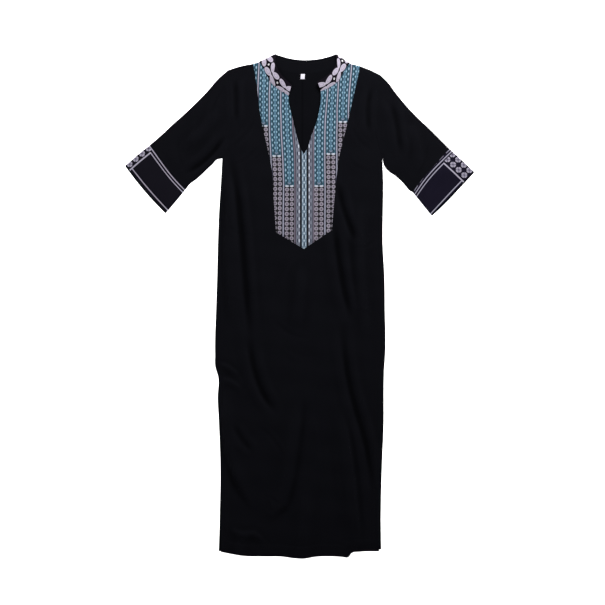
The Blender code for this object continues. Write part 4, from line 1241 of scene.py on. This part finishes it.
def yoke_print_cloth():
    """The yoke's print: teal trellis above, rings below, and a beaded stripe down the middle."""
    cloth = Cloth("yoke_print_cloth", ink(56, 100, 120), roughness=0.75, specular=0.25, sheen=0.05)
    a = cloth.across.size()
    number = ((a - COLUMN_FIRST) / COLUMN_PITCH).math("ROUND")
    signed = a - COLUMN_FIRST - number * COLUMN_PITCH
    c = signed.size()
    step = number.math("MINIMUM", LAST_COLUMN).math("MAXIMUM", 0.0)
    left = cloth.across.below(0.0)
    v = cloth.along - COLUMN_END_FIRST - step * COLUMN_END_STEP + left * step * COLUMN_END_LEAN

    # the teal trellis, and the point at its foot
    pair_v = v.repeat(TEAL_PERIOD, PAIR_ROW)
    edge_v = v.repeat(TEAL_PERIOD, PAIR_ROW + TEAL_PERIOD / 2)
    zigzag = pair_v.size() * (-2 * ZIGZAG_DEPTH / TEAL_PERIOD) + ZIGZAG_HALF
    cloth.paint((c - zigzag).below(0.0, ZIGZAG_SOFT), ink(84, 124, 148))
    cloth.paint((c - zigzag).size().below(1.6, ZIGZAG_SOFT), ink(28, 66, 84))
    cloth.paint(oval(c, edge_v, 2.2, 3.0), ink(98, 138, 166))
    cloth.paint(oval(c, pair_v, 0.9, 3.4), ink(48, 90, 112))
    cloth.paint(oval(c - 3.2, pair_v, 1.9, 2.6), ink(160, 204, 228))
    cloth.paint(oval(c - 9.8, edge_v, 1.9, 3.8), ink(170, 202, 226))
    cloth.paint(v.between(1.5, 9.0) * (c - (v - 2.0) * 0.9).below(0.0), ink(132, 150, 174))
    cloth.paint(v.between(1.0, 14.0) * (c - (v - 1.0) * 0.85).size().below(0.9), ink(30, 50, 70))
    cloth.paint(v.between(0.5, 4.0) * c.below(2.2), ink(16, 12, 28))

    # two rows of rings below it, under a pale bar
    rings = v.below(-1.0)
    cloth.paint(rings, ink(14, 7, 20))
    ring_v = v.repeat(RING_PITCH, RING_ROW)
    ring_c = c - RING_ACROSS
    cloth.paint(rings * oval(ring_c, ring_v, 5.4, 5.6), ink(184, 177, 192))
    cloth.paint(rings * oval(ring_c, ring_v, 3.6, 3.8), ink(146, 138, 154))
    cloth.paint(rings * oval(ring_c, ring_v, 1.5, 1.5, 0.3), ink(84, 72, 94))
    cloth.paint(v.between(-4.8, -2.8), ink(8, 4, 14))
    cloth.paint(oval(ring_c, v + 0.6, 5.2, 2.3), ink(232, 236, 250))

    # the stripes between the columns
    cloth.paint(signed.above(13.2), ink(62, 62, 86))
    cloth.paint(signed.below(-13.0), ink(22, 28, 46))
    cloth.paint(c.above(15.2), ink(190, 190, 210))

    # the beaded bands down the middle
    lozenge_v = cloth.along.repeat(CENTRE_PERIOD, LOZENGE_ROW)
    dot_v = cloth.along.repeat(CENTRE_PERIOD, DOT_ROW)
    a = (cloth.across - MIDDLE_STRIPE).size()
    cloth.paint(a.below(27.4), ink(140, 130, 148))
    cloth.paint(a.below(24.6), ink(46, 36, 54))
    cloth.paint(a.below(22.4), ink(132, 137, 154))
    cloth.paint(oval(a - 18.0, dot_v, 1.7, 6.0), ink(58, 64, 84))
    cloth.paint(oval(a - 13.6, dot_v, 1.8, 5.0), ink(222, 230, 246))
    cloth.paint(a.below(11.9), ink(3, 7, 22))
    cloth.paint(a.below(6.4), ink(134, 156, 176))
    cloth.paint(oval(a, dot_v, 2.2, 2.7), ink(204, 224, 238))
    cloth.paint(oval(a - 4.0, lozenge_v, 1.5, 5.8), ink(200, 220, 236))
    cloth.paint((a / 2.3 + lozenge_v.size() / 8.4).below(1.0), ink(52, 76, 96))
    # random variation, times the painted shade and highlight of the yoke's folds
    cloth.vary_and_shade(amount=0.10, scale=0.25)
    grain = weave(cloth, 0.8) * 0.5 + cloth.noise(1.6, 2.0)
    return cloth.finish(grain, strength=0.25, distance=0.25 * MM)


def cuff_print_cloth(name, chart):
    """A cuff's print: a framed dark field, with rows of medallions beside the upper fold."""
    cloth = Cloth(name, ink(*chart["field"]), roughness=0.80, specular=0.06)
    q = cloth.along.size()
    whole = q / CUFF_WIDTH
    arch = whole * (whole * -1.0 + 1.0) * 4
    bow = cloth.across * ((chart["foot bow"] - chart["bow"]) / chart["foot"]) + chart["bow"]
    p = cloth.across + arch * bow
    beyond = q - chart["side"]
    row = beyond.repeat(MEDALLION_ROWS, chart["row"])
    column = p.repeat(chart["pitch"], chart["medallion"])
    medallions = beyond.below(-4.0) * p.above(chart["first"])
    radius = (row.squared() + column.squared()).math("SQRT")
    corner = (row.size() + column.size()) * 0.77
    cloth.paint(medallions * radius.math("MAXIMUM", corner).below(MEDALLION_HALF), ink(196, 190, 210))
    crossing = (row.size() - column.size()).size().below(1.0)
    spoke = (row.size().below(0.5) + column.size().below(0.5)).clamped()
    cloth.paint(medallions * crossing * radius.below(7.4), ink(58, 54, 76))
    cloth.paint(medallions * spoke * radius.between(1.5, 6.4), ink(120, 114, 136))

    # the frame of the field: two lines at its head, one at its foot and one at its side
    line = ink(186, 182, 202)
    cloth.paint((p - chart["head"]).size().below(FRAME_LINE), line)
    cloth.paint((p - chart["head"] - FRAME_GAP).size().below(1.3) * beyond.above(-1.6), line)
    cloth.paint((p - chart["foot"]).size().below(FRAME_LINE) * beyond.above(0.0), line)
    cloth.paint(beyond.size().below(1.8) * p.above(chart["head"] + 6.9), ink(200, 195, 214))
    if "dashes" in chart:
        dash = q.repeat(DASH_PITCH, DASH_MIDDLE).size().below(DASH_HALF)
        cloth.paint((p - chart["dashes"]).size().below(1.3) * dash, ink(150, 146, 166))
    # random variation, times the painted shade and highlight of the cuff's folds
    cloth.vary_and_shade(amount=0.10, scale=0.25)
    grain = weave(cloth, 0.9) * 0.4 + cloth.noise(1.4, 2.0)
    return cloth.finish(grain, strength=0.25, distance=0.3 * MM)


# Cuff prints, in mm from the seam (heads, feet, medallions) and from the upper fold (sides, rows)
CUFF_CHARTS = {
    "left": {"head": 2.5, "foot": 76.0, "bow": -0.7, "foot bow": 0.2, "side": 18.0, "row": -12.6,
             "pitch": 22.0, "medallion": 73.8, "first": 3.5, "field": (21, 19, 29)},
    "right": {"head": 9.8, "foot": 84.5, "bow": 4.2, "foot bow": 2.8, "side": 40.5, "row": -14.5,
              "pitch": 20.4, "medallion": 78.6, "first": 14.5, "dashes": 2.9, "field": (24, 21, 38)},
}
CUFF_WIDTH = 160.0
MEDALLION_ROWS = 19.5
MEDALLION_HALF = 7.9
FRAME_LINE = 1.35
FRAME_GAP = 8.0
DASH_PITCH = 27.0
DASH_MIDDLE = 7.0
DASH_HALF = 8.2

# Collar print, in mm from each end of the band
FLOWER_PITCH = 53.5
PETAL_SLANT = math.radians(19)


def collar_print_cloth():
    """The collar's print: a chain of four-petalled flowers with white dots between them."""
    cloth = Cloth("collar_print_cloth", ink(14, 6, 20), roughness=0.75, specular=0.10)
    right = cloth.across.below(0.0)
    from_end = cloth.across.size()

    # the chain rises along the band, and on the right it starts lower and further along
    centre = from_end * (right * 0.037 + 0.085) + right * -2.6 + 9.4
    first = right * 5.2 + 14.3
    ds = (from_end - first).repeat(FLOWER_PITCH).size()
    dt = (cloth.along - centre).size()
    out, up = ds - 12.3, dt - 8.4
    along_petal = out * math.cos(PETAL_SLANT) + up * math.sin(PETAL_SLANT)
    across_petal = up * math.cos(PETAL_SLANT) - out * math.sin(PETAL_SLANT)
    reach = along_petal / 13.6
    width = reach * 0.14 + 1.0
    shape = (across_petal / (width * 6.3)).squared() + reach.squared()
    cloth.paint(shape.below(1.0, 0.16), ink(226, 216, 236))
    cloth.paint(shape.between(0.18, 0.34, 0.12), ink(188, 178, 202))
    cloth.paint(oval(ds - FLOWER_PITCH / 2, dt, 2.7, 2.7), ink(250, 246, 252))
    cloth.vary_and_shade(amount=0.06, scale=0.25)
    grain = weave(cloth, 0.8) * 0.5 + cloth.noise(1.6, 2.0)
    return cloth.finish(grain, strength=0.25, distance=0.25 * MM)


LABEL_RIB = 0.5


def label_cloth():
    """White satin tape with a fine rib and a slightly darker rim."""
    cloth = Cloth("label_cloth", linear(228, 224, 236), roughness=0.6, specular=0.25)
    cloth.paint((cloth.across.size() - 6.3).above(-0.7), linear(218, 214, 228))
    rib = (cloth.along * (2 * math.pi / LABEL_RIB)).math("SINE")
    return cloth.finish(rib, strength=0.3, distance=0.1 * MM)


def thread_cloth():
    """Black sewing thread."""
    cloth = Cloth("thread_cloth", THREAD_COLOUR, roughness=0.7, specular=0.05)
    return cloth.finish(cloth.noise(3.0), strength=0.2, distance=0.1 * MM)


# The floor, the lamps and the camera, in metres and watts
FLOOR_HALF = 6.0
FLOOR_GAP = 0.2 * MM
FLOOR_COLOUR = (0.9, 0.9, 0.9, 1.0)
FLOOR_ROUGHNESS = 0.9
FLOOR_SPECULAR = 0.1
WORLD_COLOUR = (1.0, 1.0, 1.0, 1.0)
WORLD_STRENGTH = 0.12
LAMPS = (
    # name, place, width, power
    ("key", (0.95, 2.3, 1.45), 1.2, 96),
    ("fill", (-1.2, 0.25, 1.9), 1.2, 16),
)
FLOOR_LAMP = ("floor_wash", (0.0, 0.0, 2.6), 4.0, 260)
CAMERA_AT = (CENTRE_FRONT - 0.0036, 0.00985, 3.928)
CAMERA_LENS = 85
CAMERA_SENSOR = 36


def build_floor():
    """A pale floor for the dress to lie on."""
    mesh = bpy.data.meshes.new("floor")
    corners = [(x * FLOOR_HALF, y * FLOOR_HALF, 0) for x, y in ((-1, -1), (1, -1), (1, 1), (-1, 1))]
    mesh.from_pydata(corners, [], [(0, 1, 2, 3)])
    floor = bpy.data.objects.new("floor", mesh)
    floor.location.z = -FLOOR_GAP
    bpy.context.scene.collection.objects.link(floor)
    material = bpy.data.materials.new("floor_paint")
    material.use_nodes = True
    shader = material.node_tree.nodes["Principled BSDF"]
    shader.inputs["Base Color"].default_value = FLOOR_COLOUR
    shader.inputs["Roughness"].default_value = FLOOR_ROUGHNESS
    shader.inputs["Specular IOR Level"].default_value = FLOOR_SPECULAR
    mesh.materials.append(material)
    return floor


def add_lamp(name, place_at, width, power, lit_only=None):
    """A soft square lamp that points at the middle of the dress. It may light one thing only."""
    data = bpy.data.lights.new(name, "AREA")
    data.shape = "SQUARE"
    data.size = width
    data.energy = power
    lamp = bpy.data.objects.new(name, data)
    lamp.location = place_at
    lamp.rotation_euler = (Vector() - Vector(place_at)).to_track_quat("-Z", "Y").to_euler()
    lamp.visible_camera = False
    bpy.context.scene.collection.objects.link(lamp)
    if lit_only is not None:
        group = bpy.data.collections.new(name + "_only")
        group.objects.link(lit_only)
        lamp.light_linking.receiver_collection = group
        lamp.light_linking.blocker_collection = group


def set_light_and_camera(floor):
    """Even studio light, stronger from beyond the collar, and a camera that looks straight down."""
    world = bpy.data.worlds.new("studio")
    world.use_nodes = True
    background = world.node_tree.nodes["Background"]
    background.inputs["Color"].default_value = WORLD_COLOUR
    background.inputs["Strength"].default_value = WORLD_STRENGTH
    bpy.context.scene.world = world
    for lamp in LAMPS:
        add_lamp(*lamp)
    add_lamp(*FLOOR_LAMP, floor)
    data = bpy.data.cameras.new("camera")
    data.lens = CAMERA_LENS
    data.sensor_width = CAMERA_SENSOR
    camera = bpy.data.objects.new("camera", data)
    camera.location = CAMERA_AT
    bpy.context.scene.collection.objects.link(camera)
    bpy.context.scene.camera = camera
    bpy.context.scene.view_settings.view_transform = "Standard"


def stitch_lines(collar_grid, collar_normal):
    """Every row of stitches with its heights. Each stops a little short of the seams it meets."""
    rows = []
    for line in HEM_STITCHES:
        rows.append((line, front_top(line) + ON_HEM))
    yoke_line = beside(YOKE_EDGE, YOKE_STITCHES)[2:-2]
    rows.append((yoke_line, front_top(yoke_line) + SEAM_GAP + YOKE_CLOTH - IN_YOKE))
    for points, side in ((NECK_LEFT, 1), (NECK_RIGHT, -1)):
        line = beside(seam(points), side * BESIDE_NECK)[2:-3]
        rows.append((line, front_top(line) + SEAM_GAP + YOKE_CLOTH - IN_SEAM))
    line, normal = collar_grid[:, COLLAR_CELLS - 1], collar_normal[:, COLLAR_CELLS - 1]
    up = np.where(normal[:, 2] > 0, 1.0, -1.0)[:, None]
    line = line + normal * up * BAND / 2
    at_back = np.nonzero((np.abs(normal[:, 2]) > 0.5) & (line[:, 2] < 2 * BAND))[0]
    line = line[at_back[2]:at_back[-2]]
    rows.append((line[:, :2], line[:, 2]))
    return rows


def build_dress():
    """All the pieces, each in the place of its solid."""
    crepe = crepe_cloth()
    cuff_prints = {side: cuff_print_cloth("cuff_print_" + side, chart)
                   for side, chart in CUFF_CHARTS.items()}
    yoke_print = yoke_print_cloth()
    collar_print = collar_print_cloth()
    made = {
        "front": build_front(crepe),
        "back": build_back(crepe),
        "yoke": build_yoke(yoke_print),
        **build_sleeves(crepe, cuff_prints),
    }
    made["collar"], collar_grid, collar_normal = build_collar(collar_print, crepe)
    made["label"] = build_label(label_cloth())
    stitches = build_stitches("stitches", stitch_lines(collar_grid, collar_normal), thread_cloth())
    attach(stitches, "root")
    return made


pieces = build_dress()
for node, piece in pieces.items():
    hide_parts(node)
    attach(piece, "root")

set_light_and_camera(build_floor())
